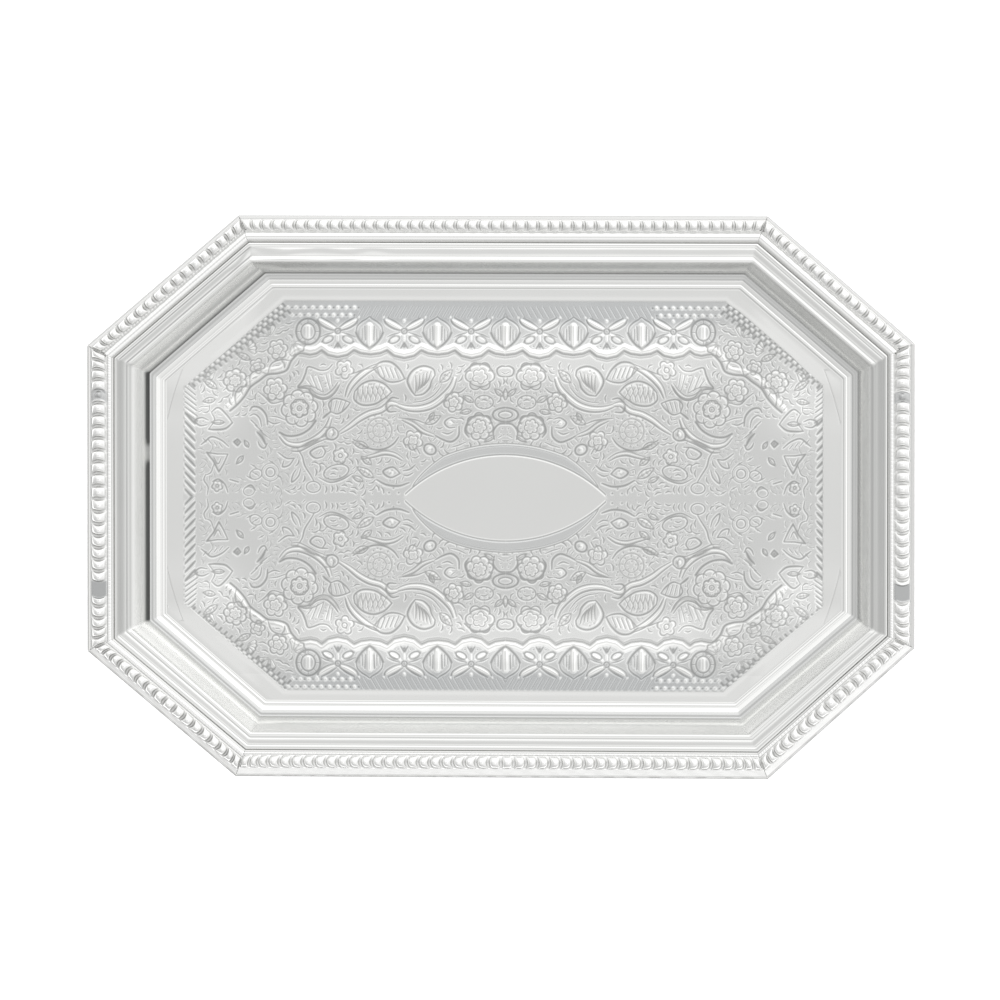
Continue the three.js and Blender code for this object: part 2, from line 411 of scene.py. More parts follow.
# ---- four-petal flowers between the shields
for cx in (172, 493, 812):
    for sg in (-1, 1):
        # upper petals, long and bright
        rib([(cx + sg * 16, 150), (cx + sg * 52, 133), (cx + sg * 88, 112)], 1.25, 0.38, ends=0.5)
        cut([(cx + sg * 14, 160), (cx + sg * 50, 150), (cx + sg * 88, 126), (cx + sg * 98, 106)], 0.36)
        cut([(cx + sg * 8, 142), (cx + sg * 42, 118), (cx + sg * 80, 98)], 0.36)
        # lower petals, small ovals
        rib([(cx + sg * 22, 180), (cx + sg * 66, 206)], 1.0, 0.30, curve=False, ends=0.6)
        ring(cx + sg * 48, 203, 27, 15, w=0.34, rot=sg * 0.45)
        pit(cx + sg * 76, 214, 0.55)
        pit(cx + sg * 30, 232, 0.4)
        cut([(cx + sg * 22, 170), (cx + sg * 56, 178), (cx + sg * 84, 192)], 0.28)
        dot(cx + sg * 100, 96, 0.55, 0.22)
    rib([(cx, 176), (cx, 214)], 0.8, 0.2, curve=False)
    cut([(cx - 17, 244), (cx, 218), (cx + 17, 244)], 0.46, curve=False)
    pit(cx, 236, 0.8)
    dot(cx, 112, 0.7, 0.28)
    ring(cx, 162, 13, w=0.32)
    pit(cx, 162, 0.3)

# ---- hatching
r_h = np.random.default_rng(5)
x = -40.0
while x < 700:                                   # along the long edge
    j = r_h.uniform(-3, 3)
    cut([(x + j, 44), (x + 30 + j, 96)], 0.26, curve=False, taper=False, strength=0.55)
    x += 29.0
for k in range(9):                               # a chequer of pearls and pits at its ends
    for row in range(2):
        xx = 712 + k * 40 + row * 20
        if xx < 1052:
            pit(xx, 50 + row * 36, 0.56, 1.0)
            dot(xx + 20, 50 + row * 36, 0.95, 0.24)
y = 585.0
while y < 965:                                   # along the short edge
    cut([(1498, y + 24), (1516, y + 4), (1556, y - 38)], 0.52, taper=True)
    rib([(1500, y + 2), (1552, y - 54)], 0.62, 0.18, curve=False)
    y += 40.5
ed = np.array([1540 - 1056, 404 - 36], float)
eL = np.linalg.norm(ed)
ed /= eL
en = np.array([-ed[1], ed[0]])                   # into the field (down-left)
en = en if en[1] > 0 else -en
d_ = 14.0
row_shift = 0
while d_ < eL - 6:                               # along the cut corner, three staggered rows
    for row in range(3):
        p0 = np.array([1056, 36]) + ed * (d_ + (16 if row % 2 else 0)) + en * (-8 + 21 * row)
        cut([(p0[0] - 5, p0[1] + 6), (p0[0] + 6, p0[1] - 6)], 0.5, curve=False, taper=False)
        if row < 2:
            q0 = p0 + ed * 16
            dot(q0[0], q0[1], 0.85, 0.3)
    d_ += 32.0
for k in range(7):                               # round the corner into the short edge
    yy = 425 + k * 25
    cut([(1498 - 2 * k, yy + 20), (1552, yy - 26)], 0.46, curve=False, taper=True)
    rib([(1500, yy + 2), (1550, yy - 42)], 0.55, 0.16, curve=False)

# ---- corner group outside the chevron
rose(1100, 250, 44, 6, 0.2)
fan(1030, 215, 130, 12, 60, 4, 80)
rose(1200, 330, 34, 5, 0.6)
fan(1135, 190, -60, 10, 52, 4, 90)
rose(1305, 400, 52, 7, 0.1)
for a in range(0, 360, 40):
    c, s_ = math.cos(math.radians(a)), math.sin(math.radians(a))
    cut([(1305 + 52 * c, 400 + 52 * s_), (1305 + 76 * c, 400 + 76 * s_)], 0.34, curve=False)
leaf(1390, 440, 1460, 392, 15)
leaf(1230, 300, 1300, 268, 14)
leaf(1400, 490, 1462, 500, 13)
fan(1250, 250, 200, 8, 44, 4, 80)
fan(1400, 350, 20, 8, 46, 4, 80)

# ---- leaf and flower groups of the upper row
stem([(250, 385), (268, 430), (310, 478), (360, 515), (420, 532), (480, 530), (524, 516)], 15)
cut([(318, 428), (352, 468), (400, 494), (452, 502)], 0.30)
leaf(322, 405, 262, 345, 20)
dot(285, 352, 0.6)
pit(300, 372, 0.5)
# shell-shaped flower
cut([(345, 372), (352, 345), (400, 328), (452, 350), (478, 398), (462, 440), (440, 470)], 0.46)
cut([(345, 372), (362, 400), (372, 432), (402, 462), (440, 470)], 0.40)
for k in range(5):
    cut([(366 + 18 * k, 356 + 5 * k), (376 + 15 * k, 392 + 8 * k), (398 + 10 * k, 424 + 8 * k)], 0.34)
seg_layer(raised, to_mm([(405, 395)])[0], to_mm([(425, 420)])[0], 5.2, 4.2, 7.0, lambda q: 0.14 * np.clip(1 - q ** 4, 0, 1))
for k in range(4):
    dot(385 + 18 * k, 372 + 16 * k, 0.42, 0.1)
# slanted shell
cut([(490, 390), (518, 342), (558, 310), (604, 310), (642, 338)], 0.50)
cut([(490, 390), (520, 402), (566, 404), (604, 382), (642, 338)], 0.40)
for k in range(5):
    xx = 520 + 22 * k
    cut([(xx, 388 - 2 * k), (xx + 20, 340 - 3 * k)], 0.38, curve=False)
    rib([(xx + 10, 384 - 2 * k), (xx + 30, 340 - 3 * k)], 0.55, 0.16, curve=False)
# net-work leaf
seg_layer(raised, to_mm([(612, 465)])[0], to_mm([(680, 465)])[0], 4.6, 4.6, 6.5, lambda q: 0.14 * np.clip(1 - q ** 4, 0, 1))
cut([(552, 452), (590, 414), (642, 398), (694, 414), (732, 452)], 0.44)
cut([(552, 452), (586, 482), (640, 512), (700, 514), (734, 488), (732, 452)], 0.40)
for k in range(6):
    cut([(585 + 26 * k, 430 - (14 if 0 < k < 5 else 0)), (612 + 22 * k, 496)], 0.28, curve=False)
    cut([(606 + 22 * k, 430), (576 + 26 * k, 486)], 0.28, curve=False)
# stem over it
stem([(612, 322), (668, 350), (722, 392), (754, 432), (772, 478)], 13)
cut([(640, 336), (700, 350), (738, 366)], 0.34)
rose(780, 345, 42, 5, 0.4, dense=False)
pit(796, 368, 0.7)
pit(772, 330, 0.45)
# jagged acanthus
ac = [(838, 322), (862, 346), (896, 350), (930, 338), (956, 334), (968, 368), (984, 404), (1004, 432), (968, 436), (938, 446), (912, 474), (876, 482), (840, 466), (808, 424)]
cut(ac, 0.40)
for (xa, ya, xb, yb) in ((850, 440, 868, 372), (880, 452, 906, 380), (908, 446, 938, 372), (932, 432, 958, 396), (838, 424, 846, 366)):
    cut([(xa, ya), (xb, yb)], 0.30, curve=False)
    rib([(xa + 12, ya - 6), (xb + 12, yb + 2)], 0.62, 0.15, curve=False)
cut([(1004, 432), (970, 424), (930, 430), (880, 456)], 0.30)
stem([(806, 410), (830, 448), (870, 478), (916, 470), (948, 440)], 10)
# flower against the chevron
rose(1112, 440, 52, 6, 0.1)
pit(1064, 454, 0.8)
pit(1112, 484, 0.6)
cut([(1080, 500), (1130, 508), (1164, 476), (1196, 452)], 0.34)

# ---- the great S stems
stem([(528, 512), (560, 508), (604, 540), (660, 556), (712, 584), (756, 618), (802, 648)], 13)
cut([(520, 485), (552, 480), (580, 512), (570, 545), (532, 546)], 0.44)
dot(548, 514, 1.0, 0.2)
cut([(812, 640), (838, 622), (866, 640), (866, 672), (836, 682), (812, 664), (812, 640)], 0.40)
dot(838, 652, 1.0, 0.22)
for sg in (-1, 1):
    cut([(838, 652 + sg * 26), (856, 652 + sg * 30), (880, 652 + sg * 26)], 0.3)
stem([(846, 578), (864, 622), (902, 664), (952, 694), (1006, 708), (1056, 698), (1090, 664)], 12)
cut([(918, 592), (950, 632), (1000, 660), (1056, 664), (1092, 648)], 0.46, taper=False)
stem([(868, 672), (920, 690), (964, 712), (1000, 730), (1036, 732)], 9)
rose(996, 532, 80, 8, 0.15)
rose(996, 532, 40, 6, 0.5, dense=False)
cut([(752, 504), (790, 490), (832, 486), (856, 510), (846, 548)], 0.38)
cut([(752, 504), (776, 534), (812, 558), (846, 548)], 0.38)
for k in range(4):
    cut([(774 + 22 * k, 500 - k), (792 + 18 * k, 542)], 0.34, curve=False)
cut([(846, 548), (872, 568), (884, 580)], 0.5)
# bud spray to the right of the big rose
cut([(1150, 612), (1156, 566), (1188, 530), (1222, 526), (1236, 546)], 0.44)
cut([(1178, 620), (1188, 580), (1214, 560), (1236, 570)], 0.34)
cut([(1090, 600), (1120, 606), (1152, 590)], 0.34)
cut([(1060, 590), (1104, 574), (1140, 570)], 0.28)
for k in range(3):
    cut([(1152 + 24 * k, 668 - 26 * k), (1186 + 22 * k, 640 - 26 * k)], 0.40, curve=False)
cut([(1160, 704), (1176, 672), (1200, 646)], 0.62)
cut([(1150, 700), (1166, 724), (1186, 712), (1196, 690)], 0.36)
# seeded flower in the middle
seg_layer(raised, to_mm([(612, 636)])[0], to_mm([(613, 636)])[0], 7.0, 7.0, 9.0, lambda q: 0.13 * np.clip(1 - q ** 4, 0, 1))
seeds(612, 636, 72, 13, 0.46)
seeds(612, 636, 45, 9, 0.42)
seeds(612, 636, 19, 5, 0.36)
ring(612, 636, 58, w=0.26, s=0.7)
ring(612, 636, 32, w=0.26, s=0.7)
cut([(520, 668), (544, 700), (586, 724), (640, 728), (700, 704), (740, 678)], 0.42)
# leaf pair and small stems at left
stem([(352, 660), (404, 640), (450, 606), (500, 584)], 9)
cut([(386, 606), (430, 588), (480, 580), (522, 576)], 0.34)
leaf(392, 604, 318, 566, 18)
leaf(372, 590, 350, 548, 12, 2)
cut([(230, 616), (234, 664), (268, 690), (312, 678), (344, 660)], 0.44)
cut([(240, 580), (270, 574), (300, 598), (280, 622), (248, 620)], 0.36)
cut([(258, 640), (284, 652), (312, 644)], 0.34)
dot(272, 600, 0.8)
rose(450, 682, 44, 5, 0.2)
ring(370, 726, 30, 24, w=0.40, rot=-0.5)
dot(370, 726, 0.9, 0.16)
for k in range(4):
    cut([(418 + 22 * k, 748 - 10 * k), (432 + 22 * k, 722 - 10 * k)], 0.40, curve=False)
# under the middle flower
stem([(500, 776), (540, 752), (588, 744), (636, 756), (700, 772)], 9)
cut([(512, 842), (548, 812), (596, 834), (560, 862), (512, 842)], 0.42)
dot(556, 838, 1.0, 0.18)
cut([(470, 886), (520, 902), (580, 896), (626, 872)], 0.48)
pit(520, 934, 0.55); pit(566, 934, 0.55); pit(545, 914, 0.4)
cut([(440, 800), (466, 822), (500, 830)], 0.38)
cut([(450, 838), (478, 852), (500, 848)], 0.34)
leaf(640, 862, 720, 812, 18)
leaf(650, 800, 700, 760, 14, 2)
leaf(690, 880, 742, 856, 12, 2)
leaf(664, 720, 742, 690, 16)
seeds(800, 758, 30, 7, 0.42)
rose(800, 758, 34, 5, 0.7, dense=False)
cut([(860, 712), (904, 716), (946, 744), (920, 770), (884, 764)], 0.40)
cut([(884, 764), (872, 738), (886, 716)], 0.34)
seeds(836, 832, 40, 8, 0.40)
ring(820, 836, 62, 34, w=0.32, rot=0.25)
cut([(742, 842), (790, 872), (850, 886), (904, 862)], 0.34)
cut([(1010, 722), (984, 760), (972, 804), (944, 850), (924, 884)], 0.34)
cut([(1020, 770), (1056, 772), (1100, 742)], 0.36)
cut([(1020, 770), (1048, 806), (1078, 812), (1072, 784)], 0.36)
cut([(990, 820), (1002, 858), (1034, 886), (1028, 850), (1012, 824)], 0.34)
ring(1136, 838, 22, w=0.30)
ring(1136, 838, 42, w=0.24, s=0.7)
ring(930, 908, 34, 26, w=0.28)
ring(1206, 848, 30, 24, w=0.26, rot=0.4)
for (xx, yy) in ((1178, 768), (1216, 808), (1206, 846), (1100, 908), (1128, 790), (1090, 860), (1236, 864), (1160, 900), (1050, 930)):
    pit(xx, yy, 0.5)
    cut([(xx - 12, yy + 8), (xx + 14, yy - 8)], 0.34, curve=False)
cut([(1206, 926), (1230, 900), (1262, 916)], 0.36)
cut([(1290, 886), (1330, 874)], 0.5, curve=False)

# ---- short-axis group, near the middle of the long side
rose(130, 376, 64, 6, 0.0)
cut([(66, 352), (104, 322), (160, 322), (206, 356)], 0.46)
cut([(74, 400), (110, 424), (156, 420), (186, 398)], 0.34)
rose(132, 616, 60, 7, 0.3)
cut([(70, 600), (98, 570), (150, 566), (188, 596), (202, 640), (184, 668)], 0.44)
ring(2, 560, 68, 34, w=0.42)
ring(2, 560, 40, 18, w=0.34)
cut([(0, 604), (40, 606), (66, 640), (60, 680)], 0.40)
seeds(14, 640, 16, 5, 0.36)
leaf(0, 500, 0, 420, 18)
leaf(20, 470, 60, 436, 12, 2)
cut([(0, 332), (26, 328), (48, 344), (40, 372), (0, 380)], 0.40)
seeds(110, 500, 30, 7, 0.42)
ring(110, 500, 44, 32, w=0.30)
leaf(160, 500, 210, 470, 13, 2)
rose(256, 500, 44, 6, 0.3)
pit(292, 494, 0.6); pit(212, 508, 0.5); pit(60, 520, 0.5); pit(36, 444, 0.5); pit(176, 450, 0.5)
leaf(170, 540, 226, 552, 12, 2)
cut([(196, 430), (222, 452), (250, 456)], 0.34)
leaf(60, 660, 110, 690, 10, 2)
cut([(196, 690), (232, 706), (268, 716)], 0.3)

# ---- lightly cut end of the field
cut([(1318, 602), (1348, 562), (1388, 530), (1420, 552)], 0.38)
cut([(1318, 602), (1352, 630), (1398, 636), (1434, 634)], 0.46)
cut([(1420, 552), (1404, 588), (1434, 634)], 0.30)
cut([(1434, 590), (1466, 578), (1500, 592), (1476, 616), (1440, 612)], 0.38)
leaf(1356, 600, 1420, 600, 10, 2)
cut([(1336, 716), (1372, 686), (1420, 670), (1452, 694), (1470, 708)], 0.38)
for k in range(4):
    cut([(1366 + 26 * k, 720 - 8 * k), (1382 + 26 * k, 700 - 8 * k)], 0.34, curve=False)
cut([(1340, 752), (1362, 800), (1384, 838), (1410, 786), (1444, 744), (1392, 752), (1340, 752)], 0.38, curve=False)
cut([(1408, 800), (1424, 842), (1444, 852)], 0.30)
cut([(1372, 770), (1388, 800), (1408, 766)], 0.28)
cut([(1340, 936), (1356, 896), (1388, 872), (1416, 884)], 0.36)
cut([(1440, 948), (1436, 910), (1456, 876), (1448, 850)], 0.32)
cut([(1278, 694), (1294, 680), (1312, 694), (1294, 712), (1278, 694)], 0.42, curve=False)
pit(1294, 694, 0.6)
rose(1392, 905, 24, 5, 0.2, dense=False)
leaf(1266, 760, 1300, 800, 10, 2)
leaf(1240, 720, 1262, 684, 9, 2)
ring(1240, 930, 26, 20, w=0.24, s=0.8)

# ---- seeding: small commas, curls and pits tucked into the gaps between the motifs
r_f = np.random.default_rng(21)


def gap_clear(x, y, r):
    p = to_mm([(x, y)])[0]
    i0, j0, k = int(p[0] / CELL), int(p[1] / CELL), int(r / CELL)
    if i0 < 0 or j0 < 0 or i0 >= NX or j0 >= NY:
        return False
    patch = groove[max(0, j0 - k):j0 + k + 1, max(0, i0 - k):i0 + k + 1]
    return patch.size > 0 and patch.max() < 0.25


def kept_plain(x, y):
    """The quiet places of the design."""
    if y < 322 and x < 1000:
        return True
    if 1185 < x < 1335 and 560 + (x - 1185) * 0.2 < y < 860:
        return True
    if 455 < x < 545 and 400 < y < 480:
        return True
    return x > 1475


for lap in range(3):
    yy = 100.0
    while yy < 948:
        xx = 4.0
        while xx < 1500:
            px, py = xx + r_f.uniform(-7, 7), yy + r_f.uniform(-7, 7)
            xx += 17.0
            if kept_plain(px, py) or not gap_clear(px, py, (1.25, 0.95, 0.75)[lap]):
                continue
            q = to_mm([(px, py)])[0]
            if field_inside(q[0], q[1]) < 2.0 or math.hypot(q[0], q[1] + RO0) - R00 < 5.2:
                continue
            light = 0.6 if px > 1040 and py > 600 else 1.0
            flow = math.radians(40 * math.sin(px / 110.0) + 55 * math.cos(py / 90.0 + px / 300.0) + (90 if (int(px / 90) + int(py / 80)) % 2 else 0))
            c, s_ = math.cos(flow), math.sin(flow)
            if lap == 0:
                L_ = r_f.uniform(13, 19)
                cut([(px - c * L_, py - s_ * L_), (px - s_ * 6, py + c * 6), (px + c * L_, py + s_ * L_)], 0.34, strength=light)
                rib([(px - c * L_ - s_ * 9, py - s_ * L_ + c * 9), (px + c * L_ - s_ * 9, py + s_ * L_ + c * 9)], 0.5, 0.12, curve=False)
            elif lap == 1:
                cut([(px - c * 9, py - s_ * 9), (px + c * 9, py + s_ * 9)], 0.32, curve=False, strength=light)
            else:
                pit(px, py, 0.34, light)
        yy += 17.0

# ---- the plain pointed oval and its ribbon
OVAL_TIP, OVAL_HALF = 44.3, 18.3
RO = (OVAL_TIP ** 2 + OVAL_HALF ** 2) / (2 * OVAL_HALF)


def oval(x, y):
    """Distance outside the pointed oval's edge, mm (negative inside)."""
    return np.hypot(x, y + (RO - OVAL_HALF)) - RO


xs_ = (np.arange(NX) + 0.5) * CELL
ys_ = (np.arange(NY) + 0.5) * CELL
GX, GY = np.meshgrid(xs_, ys_)
ov = oval(GX, GY)
groove[ov < 0.5] = 0
raised[ov < 0.5] = 0
band_w = 4.9 * np.clip((40.5 - GX) / 14.0, 0, 1) ** 0.6
on_band = (ov > 0.2) & (ov < band_w + 0.5)
groove[on_band] *= 0.0
raised[on_band] = 0
edge1 = bell((ov - 0.35) / 0.40) * (GX < 43.5)
edge2 = bell((ov - band_w - 0.2) / 0.42) * (GX < 40.3)
edge2b = bell((ov - band_w + 0.75) / 0.22) * (GX < 38.0) * 0.5
groove = np.maximum(groove, np.maximum(edge1, np.maximum(edge2, edge2b))).astype(np.float32)
ribbon_band = np.clip((ov - 0.2) / 0.4, 0, 1) * np.clip((band_w - ov) / 0.4, 0, 1) * (GX < 40.5)

# matt ground outside the ribbon row, fading inwards; the oval and its ribbon stay plain
ground = np.clip((ov - band_w) / 0.8, 0, 1)
outer_band = np.clip((GY - (Y0 - 258 * UNIT)) / 2.0, 0, 1)
frost = (ground * (0.15 + 0.70 * outer_band) * np.clip(1.1 - raised / 0.14, 0, 1)).astype(np.float32)


def blur(a, n):
    for _ in range(n):
        a = (np.roll(a, 1, 0) + a * 2 + np.roll(a, -1, 0)) / 4
        a = (np.roll(a, 1, 1) + a * 2 + np.roll(a, -1, 1)) / 4
    return a


def sample(layer, x, y):
    u = np.clip(np.abs(x) / CELL - 0.5, 0, NX - 1.001)
    v = np.clip(np.abs(y) / CELL - 0.5, 0, NY - 1.001)
    i, j = u.astype(int), v.astype(int)
    fu, fv = u - i, v - j
    return (layer[j, i] * (1 - fu) * (1 - fv) + layer[j, i + 1] * fu * (1 - fv)
            + layer[j + 1, i] * (1 - fu) * fv + layer[j + 1, i + 1] * fu * fv)


groove = blur(groove, 1)
raised = blur(raised, 2)
GROOVE_DEPTH = 0.17

# ------------------------------------------------------------------ the pressed pan
SHEET = 0.9
FLANGE_TOP = 14.9
FLOOR_D = 32.2

# Section of the pressing from the border's inner edge to the floor: distance in from the rim, height,
# and the slope of the section there in degrees; a second slope starts the next member after a quirk.
SECTION = [
    (11.48, 15.15, None, 72), (12.4, 15.62, 0, 0), (13.6, 15.44, -18, 12), (14.85, 15.55, 0, 0),
    (16.5, 15.36, -14, 38), (17.65, 15.74, 0, 0), (19.0, 14.6, -54, -50), (22.3, 10.4, -56, -56),
    (24.4, 5.3, -70, -72), (25.8, 2.75, -8, 0), (27.3, 2.6, -12, -12), (29.75, 1.3, -32, 14),
    (30.6, 1.38, 0, 0), (31.5, 0.96, -36, 3), (32.2, 0.9, 0, None)]
# Along the two short ends the reeding has been dressed smooth: a long easy brow in its place.
DRESSED = [(12.2, 15.45, None, 6), (14.6, 15.5, -4, -4), (17.4, 15.0, -22, -22), (19.6, 13.5, -44, -44), (22.3, 10.4, -54, None)]
DRESSED_SHARE = [0.85, 0.0, 0.0, 0.0, 0.7, 0.0, 0.0, 0.0]
# Side by side round the rim, set as the light falls on each side: strength of the painted shade in the quirks, painted
# reflection tone of the reeds and of the cove, and a painted dark band in the cove on two cut corners.
QUIRK_SHADE_SHARE = [0.3, 1.6, 1.0, 2.8, 0.4, 1.0, 0.9, 1.0]
REED_REFLECTION_TONE = [0.05, 0.25, 0.5, 0.2, 0.35, 0.5, 0.3, 0.2]
COVE_REFLECTION_TONE = [0.45, 0.45, 0.0, 0.65, 0.3, 1.0, 0.45, 0.95]
COVE_SHADE_BAND = [0.0, 0.16, 0.0, 0.36, 0.0, 0.0, 0.0, 0.0]


def section_curve(members, n=9):
    """Each stretch is a cubic that leaves and arrives at the slopes written in the section."""
    out = []
    for (d0, z0, _, a0), (d1, z1, a1, _) in zip(members[:-1], members[1:]):
        p0, p1 = np.array([d0, z0]), np.array([d1, z1])
        L = np.linalg.norm(p1 - p0)
        t0 = np.array([math.cos(math.radians(a0)), math.sin(math.radians(a0))]) * L
        t1 = np.array([math.cos(math.radians(a1)), math.sin(math.radians(a1))]) * L
        for k in range(n):
            u = k / n
            out.append((2 * u ** 3 - 3 * u ** 2 + 1) * p0 + (u ** 3 - 2 * u ** 2 + u) * t0
                       + (-2 * u ** 3 + 3 * u ** 2) * p1 + (u ** 3 - u ** 2) * t1)
    out.append(np.array(members[-1][:2], float))
    return out


UNDER_CURVE = [
    (31.6, 0.0), (31.1, 0.1), (30.6, 0.45), (29.8, 1.15), (28.8, 1.7), (27.9, 2.4), (26.8, 2.9), (25.4, 3.0),
    (24.7, 3.7), (24.1, 5.6), (23.4, 7.4), (22.1, 9.2), (20.6, 10.9), (19.2, 12.3), (18.3, 13.4), (16.8, 13.95), (14.0, 14.0)]


DRAWN = np.array([
    (A, -(B - CUT_Y)), (A, B - CUT_Y), (A - CUT_X, B), (-(A - CUT_X), B),
    (-A, B - CUT_Y), (-A, -(B - CUT_Y)), (-(A - CUT_X), -B), (A - CUT_X, -B)])


# The drawn-in floor is not quite true to the rim: the left end and two cut corners stand further in.
STAND_IN = np.array([0.0, 0.0, 0.0, 1.6, 0.5, -0.4, 0.0, 1.2])
# The brow of the cove wanders too, most of all along the back.
BROW_IN = np.array([0.3, 0.4, 1.5, 0.6, 0.4, 0.0, 0.4, 0.2])


def offset_corners(d):
    """Corners of the ring whose sides stand d inside the drawn rim, with the stand-in of each side."""
    D = d + STAND_IN * min(1.0, max(0.0, (d - 18.0) / 9.0))
    D = D + BROW_IN * max(0.0, min(1.0, (d - 14.6) / 3.0, (25.0 - d) / 5.6))
    out = np.zeros((8, 2))
    for k in range(8):
        rows, rhs = [], []
        for m in ((k + 7) % 8, k):
            p, q = DRAWN[m], DRAWN[(m + 1) % 8]
            t = (q - p) / np.hypot(*(q - p))
            n = np.array([-t[1], t[0]])
            rows.append(n)
            rhs.append(n @ p + D[m])
        out[k] = np.linalg.solve(np.array(rows), np.array(rhs))
    return out


def ring_points(d):
    """A ring of the octagon offset inwards by d, with its corners eased by half a millimetre. The
    pressing is true to the drawn octagon towards the floor; its flange follows the fitted border."""
    fit = min(1.0, max(0.0, 1 - (d - 11.5) / 10.0))
    C = offset_corners(d) + (CORNERS - DRAWN) * fit
    out = []
    ends = [0.42, 0.75, 1.3, 2.2, 3.6]
    for i in range(8):
        p, q = C[i], C[(i + 1) % 8]
        L = np.hypot(*(q - p))
        t = (q - p) / L
        prev = C[(i + 7) % 8]
        tp = (p - prev) / np.hypot(*(p - prev))
        out.append(0.25 * (p - tp * ends[0]) + 0.5 * p + 0.25 * (p + t * ends[0]))
        n_mid = {0: 44, 1: 26, 2: 76, 3: 26}[i % 4]
        s = ends + list(np.linspace(ends[-1], L - ends[-1], n_mid + 2)[1:-1]) + [L - e for e in ends[::-1]]
        for v in s:
            out.append(p + t * v)
    return np.array(out)


# Painted shade in the quirks between the reeds and steps and in the channel under the border's inner edge: centre,
# width and strength, mm.
QUIRK_SHADE_LINES = [(11.5, 0.2, 0.55), (13.6, 0.2, 0.4), (16.5, 0.18, 0.35), (29.7, 0.25, 0.35), (31.52, 0.22, 0.5)]
# Side by side round the rim, set as the light falls on each side: painted shade in the foot of the cove (strength,
# shift in and width), painted reflection tone on the step, and painted shade on the reeds.
FOOT_SHADE = [0.33, 0.06, 0.5, 1.0, 1.5, 0.3, 0.48, 0.08]
FOOT_AT = [-0.4, -0.6, 0.3, 0.85, 0.45, 0.3, 0.8, 1.3]
FOOT_WIDE = [0.85, 0.9, 0.95, 1.25, 1.6, 0.95, 0.95, 0.8]
STEP_REFLECTION_TONE = [1.0, 1.0, 1.0, 0.6, 0.8, 0.45, 0.45, 0.6]
REED_SHADE = [0.5, 0.12, 0.0, 0.1, 0.55, 0.0, 0.0, 0.08]


FIELD_AT = (0.32, -0.21)
DESIGN_AT = (1.03, -1.07)


